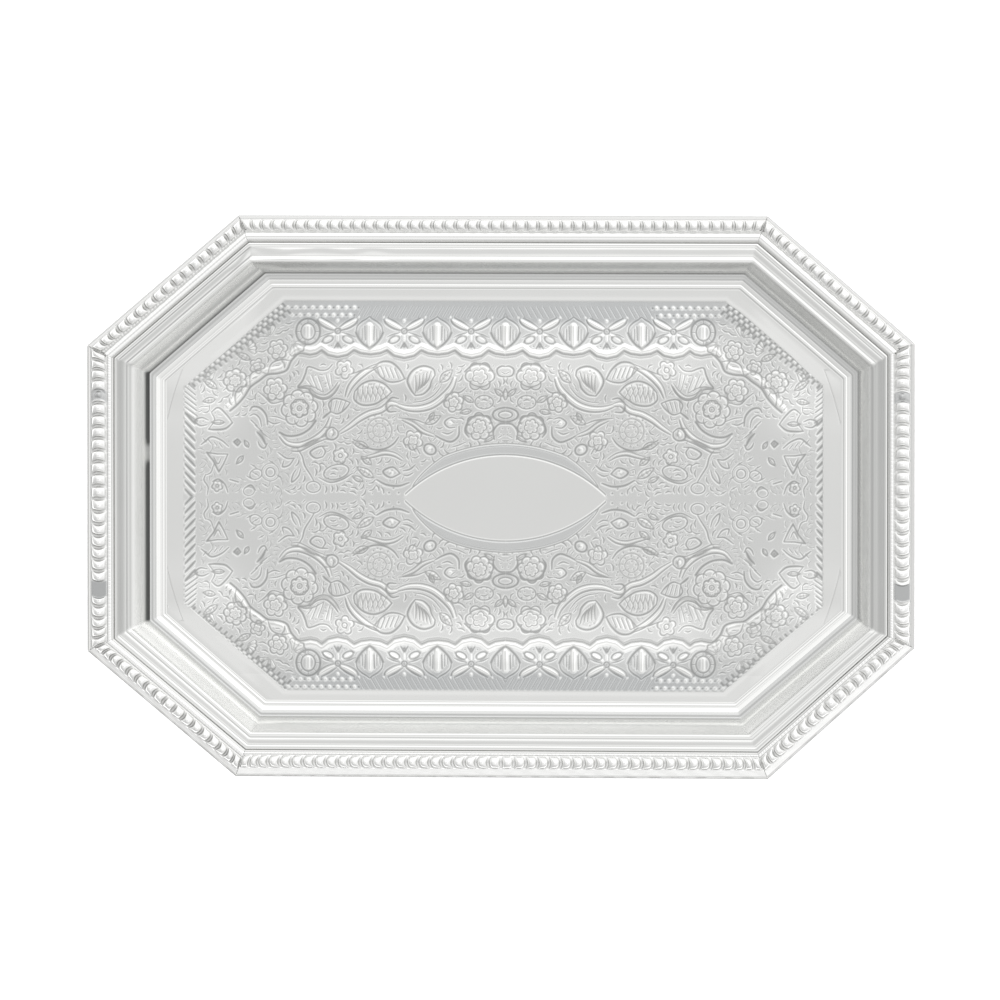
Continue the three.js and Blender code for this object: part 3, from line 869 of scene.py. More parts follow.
def build_pan():
    top = [(0.75, 14.9), (3.0, 14.9), (8.0, 14.9), (11.3, 14.9), (11.46, 14.92)]
    top = [np.array(t, float) for t in top] + section_curve(SECTION)
    edge = [(0.95, 13.995), (0.72, 14.06), (0.62, 14.25), (0.6, 14.45), (0.62, 14.7)]
    under = list(smooth_curve(UNDER_CURVE, 3)) + [np.array((11.0, 14.0)), np.array((5.0, 14.0))] + [np.array(e, float) for e in edge]
    verts, cut_and_painted_shade_v, mattv = [], [], []
    K = len(ring_points(0))
    # painted shade in the foot of the cove, set unevenly side by side and strongest along the left end
    per_side = [1 + 10 + {0: 44, 1: 26, 2: 76, 3: 26}[k % 4] for k in range(8)]
    foot_at = np.repeat(FOOT_AT, per_side)
    foot_shade = np.repeat(FOOT_SHADE, per_side)
    def along_rim(values, passes=5):
        a = np.repeat(np.array(values, float), per_side)
        for _ in range(passes):
            a = (np.roll(a, 1) + 2 * a + np.roll(a, -1)) / 4
        return a
    foot_shade, foot_at = along_rim(FOOT_SHADE, 4), along_rim(FOOT_AT, 4)
    foot_wide, step_reflection_tone = along_rim(FOOT_WIDE, 3), along_rim(STEP_REFLECTION_TONE, 2)
    reed_shade = along_rim(REED_SHADE, 2)
    dressed, quirk_shade_share, cove_shade_band = along_rim(DRESSED_SHARE), along_rim(QUIRK_SHADE_SHARE, 3), along_rim(COVE_SHADE_BAND, 3)
    reed_reflection_tone, cove_reflection_tone = along_rim(REED_REFLECTION_TONE, 2), along_rim(COVE_REFLECTION_TONE, 2)
    easy = np.array(section_curve(DRESSED))
    painted_reflection_tonev, softv = [], []
    for d, z in top:
        xy = ring_points(d)
        amp = 0.003 + 0.012 * math.exp(-((d - 16.0) / 2.6) ** 2)
        # the back brow has been dented and dressed towards its left end
        amp = amp + 0.14 * math.exp(-((d - 16.2) / 1.9) ** 2) * np.clip((-36 - xy[:, 0]) / 20, 0, 1) * np.clip((xy[:, 1] - 95) / 3, 0, 1)
        amp *= min(1.0, max(0.0, (z - 1.0) / 2.0)) * min(1.0, max(0.0, (d - 11.3) / 1.5))
        zz = z + amp * hand_waves(xy[:, 0], xy[:, 1])
        verts.append(np.column_stack([xy, zz]))
        # painted shade in the quirks between the reeds and in the channel under the border's inner edge, and a painted
        # dark band in the cove
        share = dressed * min(1.0, max(0.0, (d - 12.3) / 0.8)) * min(1.0, max(0.0, (22.3 - d) / 1.0))
        zz = zz * (1 - share) + np.interp(d, easy[:, 0], easy[:, 1]) * share
        verts[-1][:, 2] = zz
        q = sum(a * np.exp(-((d - c) / (w + 0.1 * np.clip(quirk_shade_share - 1, 0, 1))) ** 2) * (quirk_shade_share if 12 < c < 18 else 1.0) for c, w, a in QUIRK_SHADE_LINES[1:])
        q = np.asarray(q) + QUIRK_SHADE_LINES[0][2] * math.exp(-((d - QUIRK_SHADE_LINES[0][0]) / QUIRK_SHADE_LINES[0][1]) ** 2) + cove_shade_band * math.exp(-((d - 22.1) / 0.75) ** 2)
        ridge_ = min(1.0, max(0.0, (19.2 - d) / 1.0))
        cove_ = min(1.0, max(0.0, (d - 18.4) / 1.0)) * min(1.0, max(0.0, (26.0 - d) / 1.0))
        step_ = min(1.0, max(0.0, (d - 26.0) / 0.6)) * min(1.0, max(0.0, (31.0 - d) / 0.8))
        # painted reflection tone on the reeds, in the cove and on the step, side by side
        painted_reflection_tonev.append(0.45 + (reed_reflection_tone - 0.45) * ridge_ + (cove_reflection_tone - 0.45) * cove_ + (step_reflection_tone - 0.45) * step_)
        softv.append(np.full(K, cove_))
        e_ = d - foot_at
        foot = 1.15 * np.exp(-((e_ - 24.9) / foot_wide) ** 4) + 0.25 * np.exp(-((e_ - 23.6) / 1.2) ** 2)
        # over a short length at the left end the painted shade in the foot is lifted again, a painted highlight
        foot = foot * (1 - 0.7 * (xy[:, 0] < -130) * np.exp(-((xy[:, 1] - 18.0) / 4.2) ** 4))
        # the cut attribute also takes the painted shade of the quirks, the foot of the cove and the reeds
        cut_and_painted_shade_v.append(np.maximum(np.maximum(np.minimum(1.0, q), foot * foot_shade), reed_shade * ridge_ * min(1.0, max(0.0, (d - 12.0) / 0.8))))
        mattv.append(np.zeros(K))
    n_top = len(top)
    faces = []
    idx = np.arange(K)
    nxt = (idx + 1) % K
    for r in range(n_top - 1):
        a, b = r * K, (r + 1) * K
        faces.append(np.column_stack([a + idx, a + nxt, b + nxt, b + idx]))
    base = n_top * K
    # floor grid
    inner = offset_corners(FLOOR_D + 0.25)
    hw, hh = min(inner[1][0], -inner[4][0]), inner[2][1]
    top_half, side_half = min(inner[2][0], -inner[3][0]), min(inner[1][1], inner[4][1])
    N, M = 812, 494
    ty = np.linspace(-1, 1, M + 1)
    sx = np.linspace(-1, 1, N + 1)
    yy = ty * hh
    wy = np.where(np.abs(yy) <= side_half, hw, hw + (top_half - hw) * (np.abs(yy) - side_half) / (hh - side_half))
    X = sx[None, :] * wy[:, None]
    Y = np.repeat(yy[:, None], N + 1, 1)
    # the worked field sits a little off the axes of the rim, and the design a little off the field
    fx, fy = X - FIELD_AT[0], Y - FIELD_AT[1]
    ins = field_inside(np.abs(fx) - 0.9 * np.clip(fx / 60, 0, 1) * np.clip(fy / 20, 0, 1) * np.clip((130 - fx) / 6, 0, 1),
                       np.abs(fy) - 0.9 * np.clip(fy / 40, 0, 1) * np.clip((fx - 85) / 8, 0, 1) * np.clip((82.6 - fy) / 3, 0, 1))
    ins = np.minimum(ins, FIELD_W - 0.7 - fx)
    DX, DY = X - DESIGN_AT[0], Y - DESIGN_AT[1]
    worked = np.clip(ins / 0.45, 0, 1)
    g = sample(groove, DX, DY) * worked
    h = sample(raised, DX, DY) * worked
    fr = sample(frost, DX, DY) * np.clip(ins / 0.5, 0, 1)
    # the matt ground is strongest along the straight edges and fades towards the corners
    fr = fr * np.where(np.abs(DY) > 60, (0.42 + 0.58 * np.clip((np.abs(DY) - 73.5) / 3.0, 0, 1)) * (1 - 0.5 * np.clip((np.abs(DX) - 72) / 26, 0, 1)), 1.0)
    # and the row of shields is worn flatter towards its ends
    h = h * (1 - 0.45 * np.clip((np.abs(DX) - 66) / 24, 0, 1) * (np.abs(DY) > 54))
    rb = sample(ribbon_band.astype(np.float32), DX, DY)
    aX, aY = np.abs(DX), np.abs(DY)
    # painted reflection: the floor's tone, 0..1, set band by band, lighter along the row of shields, near the cut
    # corners and on the plain oval, darker in the worked ground and along its edges, most at the front
    row_ = np.clip((aY - 47.0) / 7.0, 0, 1)
    # where the painted bright row fades sooner towards the ends
    wear_and_painted_light_share = np.where(DY < 0, np.clip((aY - 60) / 3, 0, 1), np.clip((79 - aY) / 5, 0, 1) * (DX < 0))
    ends_ = np.clip((104 - aX) / 26, 0, 1) * (1 - wear_and_painted_light_share) + np.clip((98 - aX) / 42, 0, 1) * wear_and_painted_light_share
    tone = 0.45 + worked * (-0.30 + 0.76 * row_ * ends_)
    # a painted highlight in the field near each cut corner
    tone = tone + worked * 0.85 * np.exp(-((aX - 127) / 13) ** 2) * np.exp(-((aY - 41) / 14) ** 2)
    # painted shade along the field's long edges, stronger at the front
    tone = tone - worked * np.where(DY < 0, 0.55, 0.22) * np.clip((aY - 68.5) / 3, 0, 1)
    tone = tone - worked * 0.45 * np.clip((aY - 74.5) / 1.5, 0, 1)
    tone = tone + worked * 0.24 * np.clip(-oval(aX, aY) / 0.5, 0, 1)
    # the plain band round the field: painted reflection, lighter by the cut corners, at the ends and along the front
    off = 1 - worked
    slant = np.clip((aX - 105) / 8, 0, 1) * np.clip((aY - 44) / 8, 0, 1)
    tone = tone + off * 0.45 * slant
    tone = tone + off * (aX > 136) * (0.12 * np.exp(-((aY - 33) / 6) ** 2) - 0.05 * np.exp(-(aY / 18) ** 2))
    tone = tone + off * (aY > 76) * np.where(DY < 0, 0.22, 0.04)
    # a painted highlight on the plain band just outside the field's edge
    tone = tone + off * (aY > 60) * 0.40 * np.exp(-((ins + 1.1) / 0.9) ** 2)
    rad = np.hypot(X, Y)
    plain = np.clip(-ins / 0.3, 0, 1)
    arc = np.exp(-((rad - 148.6) / 0.22) ** 2) * plain
    Z = SHEET + 0.03 * floor_waves(X, Y) * np.clip((hh - np.abs(Y)) / 4, 0, 1) * np.clip((hw - np.abs(X)) / 4, 0, 1)
    Z = Z - 0.06 * np.clip(ins / 0.35, 0, 1) * np.clip(1 - rb, 0, 1)
    Z = Z + h - GROOVE_DEPTH * g - 0.05 * arc
    Z = Z + 0.03 * np.clip(-oval(aX, aY) / 0.5, 0, 1)
    painted_reflection_tonev.append(tone.ravel())
    verts.append(np.column_stack([X.ravel(), Y.ravel(), Z.ravel()]))
    edge_line = np.exp(-((ins - 0.1) / 0.3) ** 2)
    cut_and_painted_shade_v.append(np.clip(g + 0.5 * arc + 0.45 * edge_line, 0, 1).ravel())
    mattv.append(np.clip(fr + 0.5 * rb, 0, 1).ravel())
    W1 = N + 1
    r_, c_ = np.meshgrid(np.arange(M), np.arange(N), indexing="ij")
    v0 = base + (r_ * W1 + c_).ravel()
    faces.append(np.column_stack([v0, v0 + 1, v0 + 1 + W1, v0 + W1]))
    loop = np.concatenate([
        np.arange(0, N), np.arange(0, M) * W1 + N, M * W1 + np.arange(N, 0, -1), np.arange(M, 0, -1) * W1]) + base
    allv = np.vstack(verts)
    outer = (n_top - 1) * K + idx
    # both loops turn the same way round the centre; zip them by angle
    def by_angle(ids):
        a = np.arctan2(allv[ids, 1], allv[ids, 0])
        s = int(np.argmin(a))
        return np.roll(ids, -s), np.roll(a, -s)
    o, oa = by_angle(outer)
    l_, la = by_angle(loop)
    tri = []
    i = j = 0
    no, nl = len(o), len(l_)
    while i < no or j < nl:
        next_o = oa[i + 1] if i + 1 < no else oa[0] + 2 * math.pi + (0 if i + 1 == no else 9)
        next_l = la[j + 1] if j + 1 < nl else la[0] + 2 * math.pi + (0 if j + 1 == nl else 9)
        if i < no and (next_o <= next_l or j >= nl):
            tri.append((o[i % no], o[(i + 1) % no], l_[j % nl]))
            i += 1
        else:
            tri.append((o[i % no], l_[(j + 1) % nl], l_[j % nl]))
            j += 1
    faces.append(np.array(tri))
    # underside
    ub = base + (N + 1) * (M + 1)
    uverts = []
    for d, z in under:
        xy = ring_points(d)
        uverts.append(np.column_stack([xy, np.full(K, z)]))
        q = math.exp(-((z - 3.0) / 0.9) ** 2) * 0.5
        cut_and_painted_shade_v.append(np.full(K, q))
        mattv.append(np.full(K, 0.25))
    for r in range(len(under) - 1):
        a, b = ub + r * K, ub + (r + 1) * K
        faces.append(np.column_stack([a + idx, a + nxt, b + nxt, b + idx]))
    last = ub + (len(under) - 1) * K
    faces.append(np.column_stack([last + idx, last + nxt, nxt, idx]))
    # flat underside, in rings towards the centre
    inner = ring_points(under[0][0])
    scales = [0.985, 0.9, 0.75, 0.55, 0.35, 0.15]
    cb = ub + len(under) * K
    for s in scales:
        uverts.append(np.column_stack([inner * s, np.zeros(K)]))
        cut_and_painted_shade_v.append(np.zeros(K))
        mattv.append(np.full(K, 0.25))
    uverts.append(np.array([[0.0, 0.0, 0.0]]))
    cut_and_painted_shade_v.append(np.zeros(1))
    mattv.append(np.full(1, 0.25))
    chain = [ub] + [cb + k * K for k in range(len(scales))]
    for a, b in zip(chain[:-1], chain[1:]):
        faces.append(np.column_stack([a + nxt, a + idx, b + idx, b + nxt]))
    centre = cb + len(scales) * K
    faces.append(np.column_stack([chain[-1] + nxt, chain[-1] + idx, np.full(K, centre)]))
    allv = np.vstack([allv] + uverts)
    soft_all = np.zeros(len(allv))
    soft_all[:n_top * K] = np.concatenate(softv)
    tone_with_painted_reflection = np.full(len(allv), 0.45)
    got = np.concatenate(painted_reflection_tonev)
    tone_with_painted_reflection[:len(got)] = got
    return make_object("pan_plate_work", allv, faces,
                       {"cut": np.concatenate(cut_and_painted_shade_v), "matt": np.concatenate(mattv), "tone": tone_with_painted_reflection, "soft": soft_all})


# ------------------------------------------------------------------ the gadroon border
# how crisply the little flutes inside the pearls have come up, side by side round the rim, and how much painted shade
# lies in their troughs
FLUTE = [0.8, 0.7, 0.25, 1.0, 0.8, 0.8, 0.8, 0.8]
# where the pearls start and stop, in from the edge: the strip was not struck evenly along its width
PEARLS = [(2.0, 8.3), (1.8, 6.35), (1.85, 6.4), (1.7, 6.0), (1.9, 8.2), (2.8, 7.7), (3.9, 9.1), (3.5, 8.6)]
# painted shade side by side round the rim: in the gaps between the pearls, and on the lip inside its edge
GAP_SHADE = [0.65, 0.9, 0.75, 1.0, 0.85, 1.0, 0.45, 0.75]
LIP_SHADE = [0.36, 0.12, 0.12, 0.15, 0.34, 0.08, 0.06, 0.05]


def build_border(i):
    p, q, L, t, n = side(i)
    lobes = int(round(L / 5.0))
    per = 20
    stations = lobes * per + 1
    start_shift = float(MITRE[i] @ t)
    end_shift = -float(MITRE[(i + 1) % 8] @ t)
    g0, g1 = 0.06 * math.hypot(1, start_shift), 0.06 * math.hypot(1, end_shift)
    u = np.linspace(g0, L - g1, stations)
    phase = (np.arange(stations) % per) / per          # 0 at a gap
    phase[-1] = 0.0
    c = np.clip(1 - np.abs((phase - 0.5) / 0.42) ** 2.2, 0, 1) ** 0.55
    dart = np.clip(1 - (np.minimum(phase, 1 - phase) / 0.085) ** 2, 0, 1)
    fl = np.abs(np.sin(math.pi * 3 * np.arange(stations) / per)) ** 0.6
    under = FLANGE_TOP + 0.06
    la, lb = PEARLS[i]
    d_lip = [0.0, 0.0, 0.05, 0.2, 0.45, 0.7, 0.95]
    z_lip = [under, 15.75, 15.98, 16.18, 16.3, 16.34, 16.3] if la < 2.5 else [under, 15.7, 15.85, 15.95, 15.99, 16.0, 15.99]
    for d in np.linspace(1.15, la - 0.12, 2 + int((la - 1.15) / 0.35)):
        d_lip.append(float(d))
        z_lip.append(16.24 if la < 2.5 else 16.0 + 0.42 * (float(d) - 1.15) / (la - 1.27))
    d_lobe = list(np.linspace(la, lb, 14 + int((lb - la) / 0.7)))
    slim = lb < 6.6                                     # short pearls leave room for a plain round bead
    c0 = 7.1 if slim else lb + 0.35
    c1 = 10.85 if slim else 10.55
    d_flute, z_flute = [], []
    if slim:
        d_flute = [lb + 0.12] + list(np.linspace(lb + 0.2, 6.98, 5))
        z_flute = [16.42, 16.55, 16.62, 16.62, 16.56, 16.46]
    mid_b, half_b = (c0 + c1) / 2, (c1 - c0) / 2
    d_bead = list(mid_b - half_b * np.cos(np.linspace(0, math.pi, 11)))
    z_bead = [16.2 + (1.06 if slim else 0.62) * math.sqrt(max(0.0, 1 - ((d - mid_b) / half_b) ** 2)) for d in d_bead]
    d_bead += [11.0, 11.2, 11.42, 11.42]
    z_bead += [16.0, 15.85, 15.5, under]
    rr = np.random.default_rng(100 + i)
    wob = np.repeat(rr.uniform(-1, 1, lobes + 1), per)[:stations]
    cols, cut_and_painted_shade_rows, mattc = [], [], []
    lobe_amt = np.ones(stations)
    yv = p[1] + t[1] * u
    boss = np.zeros(stations)
    if i in (0, 4):
        land = np.clip((3.7 - np.abs(yv + 39.8)) / 0.5, 0, 1)
        small = np.clip((2.4 - np.abs(yv - 42.6)) / 0.4, 0, 1)
        lobe_amt = (1 - land) * (1 - 0.8 * small)
        boss = small
    mid = np.tanh((u - L / 2) / 7.0)
    # a few pearls near one mitre are flattened
    wear_and_painted_light_share = np.ones(stations)
    if i == 2:
        wear_and_painted_light_share = 1 - 0.4 * np.clip((u - (L - 26)) / 8, 0, 1) * (0.5 + 0.5 * wob)
    f0 = np.clip(1 - (u - g0) / 14.0, 0, 1)
    f1 = np.clip(1 - (L - g1 - u) / 14.0, 0, 1)

    def add(d, z, cut_and_painted_shade_v, mattv, bulge=0.0):
        along = u + bulge + d * start_shift * f0 - d * end_shift * f1
        lo_, hi_ = g0 + d * start_shift, L - g1 - d * end_shift
        along = np.clip(along, lo_, hi_)
        # keep the stations in order after the clamp
        along = np.maximum.accumulate(along)
        x = p[0] + t[0] * along + n[0] * d
        y = p[1] + t[1] * along + n[1] * d
        cols.append(np.column_stack([x, y, z]))
        cut_and_painted_shade_rows.append(np.broadcast_to(cut_and_painted_shade_v, (stations,)).astype(float))
        mattc.append(np.broadcast_to(mattv, (stations,)).astype(float))

    # the lip: painted shade, darkest on its outer edge, set side by side and mottled along the front and its two
    # corners
    for d, z in zip(d_lip, z_lip):
        add(d, np.full(stations, z) + (0.02 * hand_waves(p[0] + t[0] * u, p[1] + t[1] * u) if z > under + 0.1 else 0), 0.85 if d < 0.3 else (LIP_SHADE[i] if d > 0.45 else 0.4) * (1 + (0.9 * np.clip(hand_waves(4 * (p[0] + t[0] * u), 30 * d + u), -1, 1) if la > 2.5 else 0.0)), 0.0)
    for d in d_lobe:
        k = (d - la + 0.12) / (lb - la + 0.24)
        env = math.sin(math.pi * min(max(k, 0.0), 1.0) ** 0.92) ** 0.7
        base_z = 16.15 + 0.3 * k
        bulge = (0.6 if slim else 1.0) * (1 - ((d - (la + lb) / 2) / ((lb - la) / 2)) ** 2) * mid * np.clip(np.minimum(u, L - u) / 9.0, 0, 1)
        height = (2.2 * env * c * (1 + 0.05 * wob) + 0.6 * env * dart) * lobe_amt * wear_and_painted_light_share
        flat = (1 - lobe_amt) * 0.35
        dome = boss * 0.9 * np.clip(1 - ((d - (la + lb) / 2) / 1.5) ** 2, 0, 1) * np.clip(1 - ((yv - 42.6) / 1.5) ** 2, 0, 1)
        # painted shade in the gaps between the pearls; the plain land at the ends is made darker too
        pearl_gap_shade = np.clip(1.2 - 1.7 * c - 0.6 * dart, 0, 1) * lobe_amt * min(1.0, env * 1.6) + (1 - lobe_amt) * 0.7
        pearl_gap_shade = np.maximum(pearl_gap_shade, 0.3 * (env < 0.45))
        pearl_gap_shade = pearl_gap_shade * (GAP_SHADE[i] * lobe_amt + 1 - lobe_amt)
        add(d, base_z + height + flat + dome, pearl_gap_shade, (1 - lobe_amt) * 0.8, bulge)
    for d, z in zip(d_flute, z_flute):
        f = FLUTE[i] * math.exp(-((d - (lb + 6.98) / 2) / 0.4) ** 2)
        # painted shade over the flute band, deeper in the troughs of the flutes
        add(d, z + 0.30 * f * (fl - 0.6), 0.30 + 0.22 * (1 - fl) * FLUTE[i], 0.0)
    for d, z in zip(d_bead, z_bead):
        # painted shade in the creases either side of the round bead, deeper in the troughs of its flutes
        bead_edge_shade = 0.22 if d < c0 + 0.2 else (0.35 if d > c1 - 0.05 else 0.0)
        f = FLUTE[i] * (0.4 if slim else 1.6) * math.exp(-((d - mid_b) / (0.6 * half_b)) ** 2)
        add(d, z - 0.10 * (1 - fl) * f if z > under + 0.1 else np.full(stations, z), bead_edge_shade + 0.13 * (1 - fl) * f, 0.0)
    S = len(cols)
    V = np.stack(cols, 1).reshape(-1, 3)
    C_ = np.stack(cut_and_painted_shade_rows, 1).ravel()
    M_ = np.stack(mattc, 1).ravel()
    s_i, k_i = np.meshgrid(np.arange(stations - 1), np.arange(S), indexing="ij")
    s_i, k_i = s_i.ravel(), k_i.ravel()
    m_i = (k_i + 1) % S
    a, b = s_i * S + k_i, s_i * S + m_i
    e, f_ = (s_i + 1) * S + k_i, (s_i + 1) * S + m_i
    faces = [np.column_stack([a, e, f_, b])]
    # mitred ends
    def cap(row, flip):
        ids = row * S + np.arange(S)
        lowest = ids[0], ids[-1]
        tri = []
        lo_, hi_ = 0, S - 1
        while hi_ - lo_ > 1:
            if (lo_ + hi_) % 2 == 0:
                tri.append((ids[lo_], ids[lo_ + 1], ids[hi_])); lo_ += 1
            else:
                tri.append((ids[lo_], ids[hi_ - 1], ids[hi_])); hi_ -= 1
        tri = np.array(tri)
        return tri[:, ::-1] if flip else tri
    faces.append(cap(0, True))
    faces.append(cap(stations - 1, False))
    ob = make_object(SIDE_NAMES[i] + "_work", V, faces, {"cut": C_, "matt": M_, "tone": np.full(len(V), 0.55), "soft": np.zeros(len(V))})
    return ob


# ------------------------------------------------------------------ materials
def plate(name, base, low, high, rough, cut_and_painted_shade_color, cut_and_painted_shade_amount, seed):
    """Bright plate over sheet metal: wandering tone, faint handling scratches, matt worked ground and
    painted shade in the hollows. The attributes cut and matt say where the die or the graver has been; cut also holds
    painted shade in the quirks, gaps and creases, and tone holds painted reflection."""
    m = bpy.data.materials.new(name)
    m.use_nodes = True
    nt = m.node_tree
    nt.nodes.clear()
    N = nt.nodes.new
    out = N("ShaderNodeOutputMaterial")
    bs = N("ShaderNodeBsdfPrincipled")
    bs.inputs["Metallic"].default_value = 1.0
    tc = N("ShaderNodeTexCoord")
    cut_and_painted_shade_attr = N("ShaderNodeAttribute"); cut_and_painted_shade_attr.attribute_name = "cut"
    matn = N("ShaderNodeAttribute"); matn.attribute_name = "matt"
    big = N("ShaderNodeTexNoise"); big.inputs["Scale"].default_value = 14.0; big.inputs["Detail"].default_value = 3.0
    mp = N("ShaderNodeMapping"); mp.inputs["Location"].default_value = (seed, seed * 0.3, 0)
    nt.links.new(tc.outputs["Object"], mp.inputs["Vector"])
    nt.links.new(mp.outputs["Vector"], big.inputs["Vector"])
    # the tone attribute lays painted reflection on the pan; the noise adds a wandering tone
    tone = N("ShaderNodeMix"); tone.data_type = "RGBA"
    tone.inputs["A"].default_value = (*low, 1); tone.inputs["B"].default_value = (*high, 1)
    ton = N("ShaderNodeAttribute"); ton.attribute_name = "tone"
    wander = N("ShaderNodeMath"); wander.operation = "MULTIPLY_ADD"
    nt.links.new(big.outputs["Fac"], wander.inputs[0]); wander.inputs[1].default_value = 0.16; wander.inputs[2].default_value = -0.08
    both = N("ShaderNodeMath"); both.operation = "ADD"; both.use_clamp = True
    nt.links.new(ton.outputs["Fac"], both.inputs[0]); nt.links.new(wander.outputs[0], both.inputs[1])
    nt.links.new(both.outputs[0], tone.inputs["Factor"])
    # cut lines and painted shade: the cut attribute darkens the colour
    cut_and_painted_shade_mix = N("ShaderNodeMix"); cut_and_painted_shade_mix.data_type = "RGBA"
    amt = N("ShaderNodeMath"); amt.operation = "MULTIPLY"; amt.inputs[1].default_value = cut_and_painted_shade_amount
    nt.links.new(cut_and_painted_shade_attr.outputs["Fac"], amt.inputs[0])
    nt.links.new(amt.outputs[0], cut_and_painted_shade_mix.inputs["Factor"])
    nt.links.new(tone.outputs["Result"], cut_and_painted_shade_mix.inputs["A"])
    cut_and_painted_shade_mix.inputs["B"].default_value = (*cut_and_painted_shade_color, 1)
    mm = N("ShaderNodeMix"); mm.data_type = "RGBA"
    mamt = N("ShaderNodeMath"); mamt.operation = "MULTIPLY"; mamt.inputs[1].default_value = 0.85
    nt.links.new(matn.outputs["Fac"], mamt.inputs[0])
    nt.links.new(mamt.outputs[0], mm.inputs["Factor"])
    nt.links.new(cut_and_painted_shade_mix.outputs["Result"], mm.inputs["A"])
    tint = N("ShaderNodeMix"); tint.data_type = "RGBA"; tint.blend_type = "MULTIPLY"
    tint.inputs["Factor"].default_value = 1.0
    nt.links.new(cut_and_painted_shade_mix.outputs["Result"], tint.inputs["A"])
    tint.inputs["B"].default_value = (0.71, 0.725, 0.745, 1)
    nt.links.new(tint.outputs["Result"], mm.inputs["B"])
    nt.links.new(mm.outputs["Result"], bs.inputs["Base Color"])
    # roughness: polished, with smears, duller where matt or cut
    fine = N("ShaderNodeTexNoise"); fine.inputs["Scale"].default_value = 60.0; fine.inputs["Detail"].default_value = 6.0
    nt.links.new(mp.outputs["Vector"], fine.inputs["Vector"])
    r0 = N("ShaderNodeMapRange"); r0.inputs["From Min"].default_value = 0.3; r0.inputs["From Max"].default_value = 0.7
    r0.inputs["To Min"].default_value = rough * 0.7; r0.inputs["To Max"].default_value = rough * 1.4
    nt.links.new(fine.outputs["Fac"], r0.inputs["Value"])
    r1 = N("ShaderNodeMath"); r1.operation = "MULTIPLY_ADD"
    nt.links.new(matn.outputs["Fac"], r1.inputs[0]); r1.inputs[1].default_value = 0.09
    nt.links.new(r0.outputs["Result"], r1.inputs[2])
    r2 = N("ShaderNodeMath"); r2.operation = "MULTIPLY_ADD"
    nt.links.new(cut_and_painted_shade_attr.outputs["Fac"], r2.inputs[0]); r2.inputs[1].default_value = 0.18
    nt.links.new(r1.outputs[0], r2.inputs[2])
    sofn = N("ShaderNodeAttribute"); sofn.attribute_name = "soft"
    r3 = N("ShaderNodeMath"); r3.operation = "MULTIPLY_ADD"
    nt.links.new(sofn.outputs["Fac"], r3.inputs[0]); r3.inputs[1].default_value = 0.17
    nt.links.new(r2.outputs[0], r3.inputs[2])
    nt.links.new(r3.outputs[0], bs.inputs["Roughness"])
    # faint wiping scratches, in two directions, and a fine grain on the matt ground
    def scratches(angle, sc):
        mpp = N("ShaderNodeMapping")
        mpp.inputs["Rotation"].default_value = (0, 0, angle)
        mpp.inputs["Scale"].default_value = (sc, sc * 40, sc)
        nt.links.new(tc.outputs["Object"], mpp.inputs["Vector"])
        nz = N("ShaderNodeTexNoise"); nz.inputs["Scale"].default_value = 10.0; nz.inputs["Detail"].default_value = 2.0
        nt.links.new(mpp.outputs["Vector"], nz.inputs["Vector"])
        return nz
    s1 = scratches(0.4, 1.6)
    s2 = scratches(-1.1, 1.1)
    add = N("ShaderNodeMath"); add.operation = "ADD"
    nt.links.new(s1.outputs["Fac"], add.inputs[0]); nt.links.new(s2.outputs["Fac"], add.inputs[1])
    grain = N("ShaderNodeTexNoise"); grain.inputs["Scale"].default_value = 1800.0; grain.inputs["Detail"].default_value = 1.0
    nt.links.new(tc.outputs["Object"], grain.inputs["Vector"])
    gm = N("ShaderNodeMath"); gm.operation = "MULTIPLY"
    nt.links.new(grain.outputs["Fac"], gm.inputs[0]); nt.links.new(matn.outputs["Fac"], gm.inputs[1])
    b1 = N("ShaderNodeBump"); b1.inputs["Strength"].default_value = 0.007; b1.inputs["Distance"].default_value = 0.0002
    nt.links.new(add.outputs[0], b1.inputs["Height"])
    b2 = N("ShaderNodeBump"); b2.inputs["Strength"].default_value = 0.25; b2.inputs["Distance"].default_value = 0.00006
    nt.links.new(gm.outputs[0], b2.inputs["Height"])
    nt.links.new(b1.outputs["Normal"], b2.inputs["Normal"])
    nt.links.new(b2.outputs["Normal"], bs.inputs["Normal"])
    nt.links.new(bs.outputs["BSDF"], out.inputs["Surface"])
    return m


pan_mat = plate("pan_plate", None, (0.757, 0.76, 0.747), (0.988, 0.99, 0.974), 0.07, (0.12, 0.123, 0.12), 0.64, 0.3)
border_mat = plate("border_plate", None, (0.82, 0.82, 0.81), (0.95, 0.95, 0.94), 0.08, (0.30, 0.30, 0.29), 0.8, 1.7)

pan = build_pan()
pan.data.materials.append(pan_mat)
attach(pan, "root")
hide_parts("tray_pan")
for i in range(8):
    ob = build_border(i)
    ob.data.materials.append(border_mat)
    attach(ob, "root")
    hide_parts(SIDE_NAMES[i])

# ------------------------------------------------------------------ floor and light
me = bpy.data.meshes.new("ground")
s = 12.0
me.from_pydata([(-s, -s, 0), (s, -s, 0), (s, s, 0), (-s, s, 0)], [], [(0, 1, 2, 3)])
ground = bpy.data.objects.new("ground", me)
bpy.context.scene.collection.objects.link(ground)
gm_ = bpy.data.materials.new("pale_floor")
gm_.use_nodes = True
gb = gm_.node_tree.nodes["Principled BSDF"]
gb.inputs["Base Color"].default_value = (0.92, 0.92, 0.92, 1)
gb.inputs["Roughness"].default_value = 0.9
gb.inputs["Specular IOR Level"].default_value = 0.0
gb.inputs["Emission Color"].default_value = (1, 1, 1, 1)
gb.inputs["Emission Strength"].default_value = 0.4
ground.data.materials.append(gm_)
ground.location.z = -0.0002

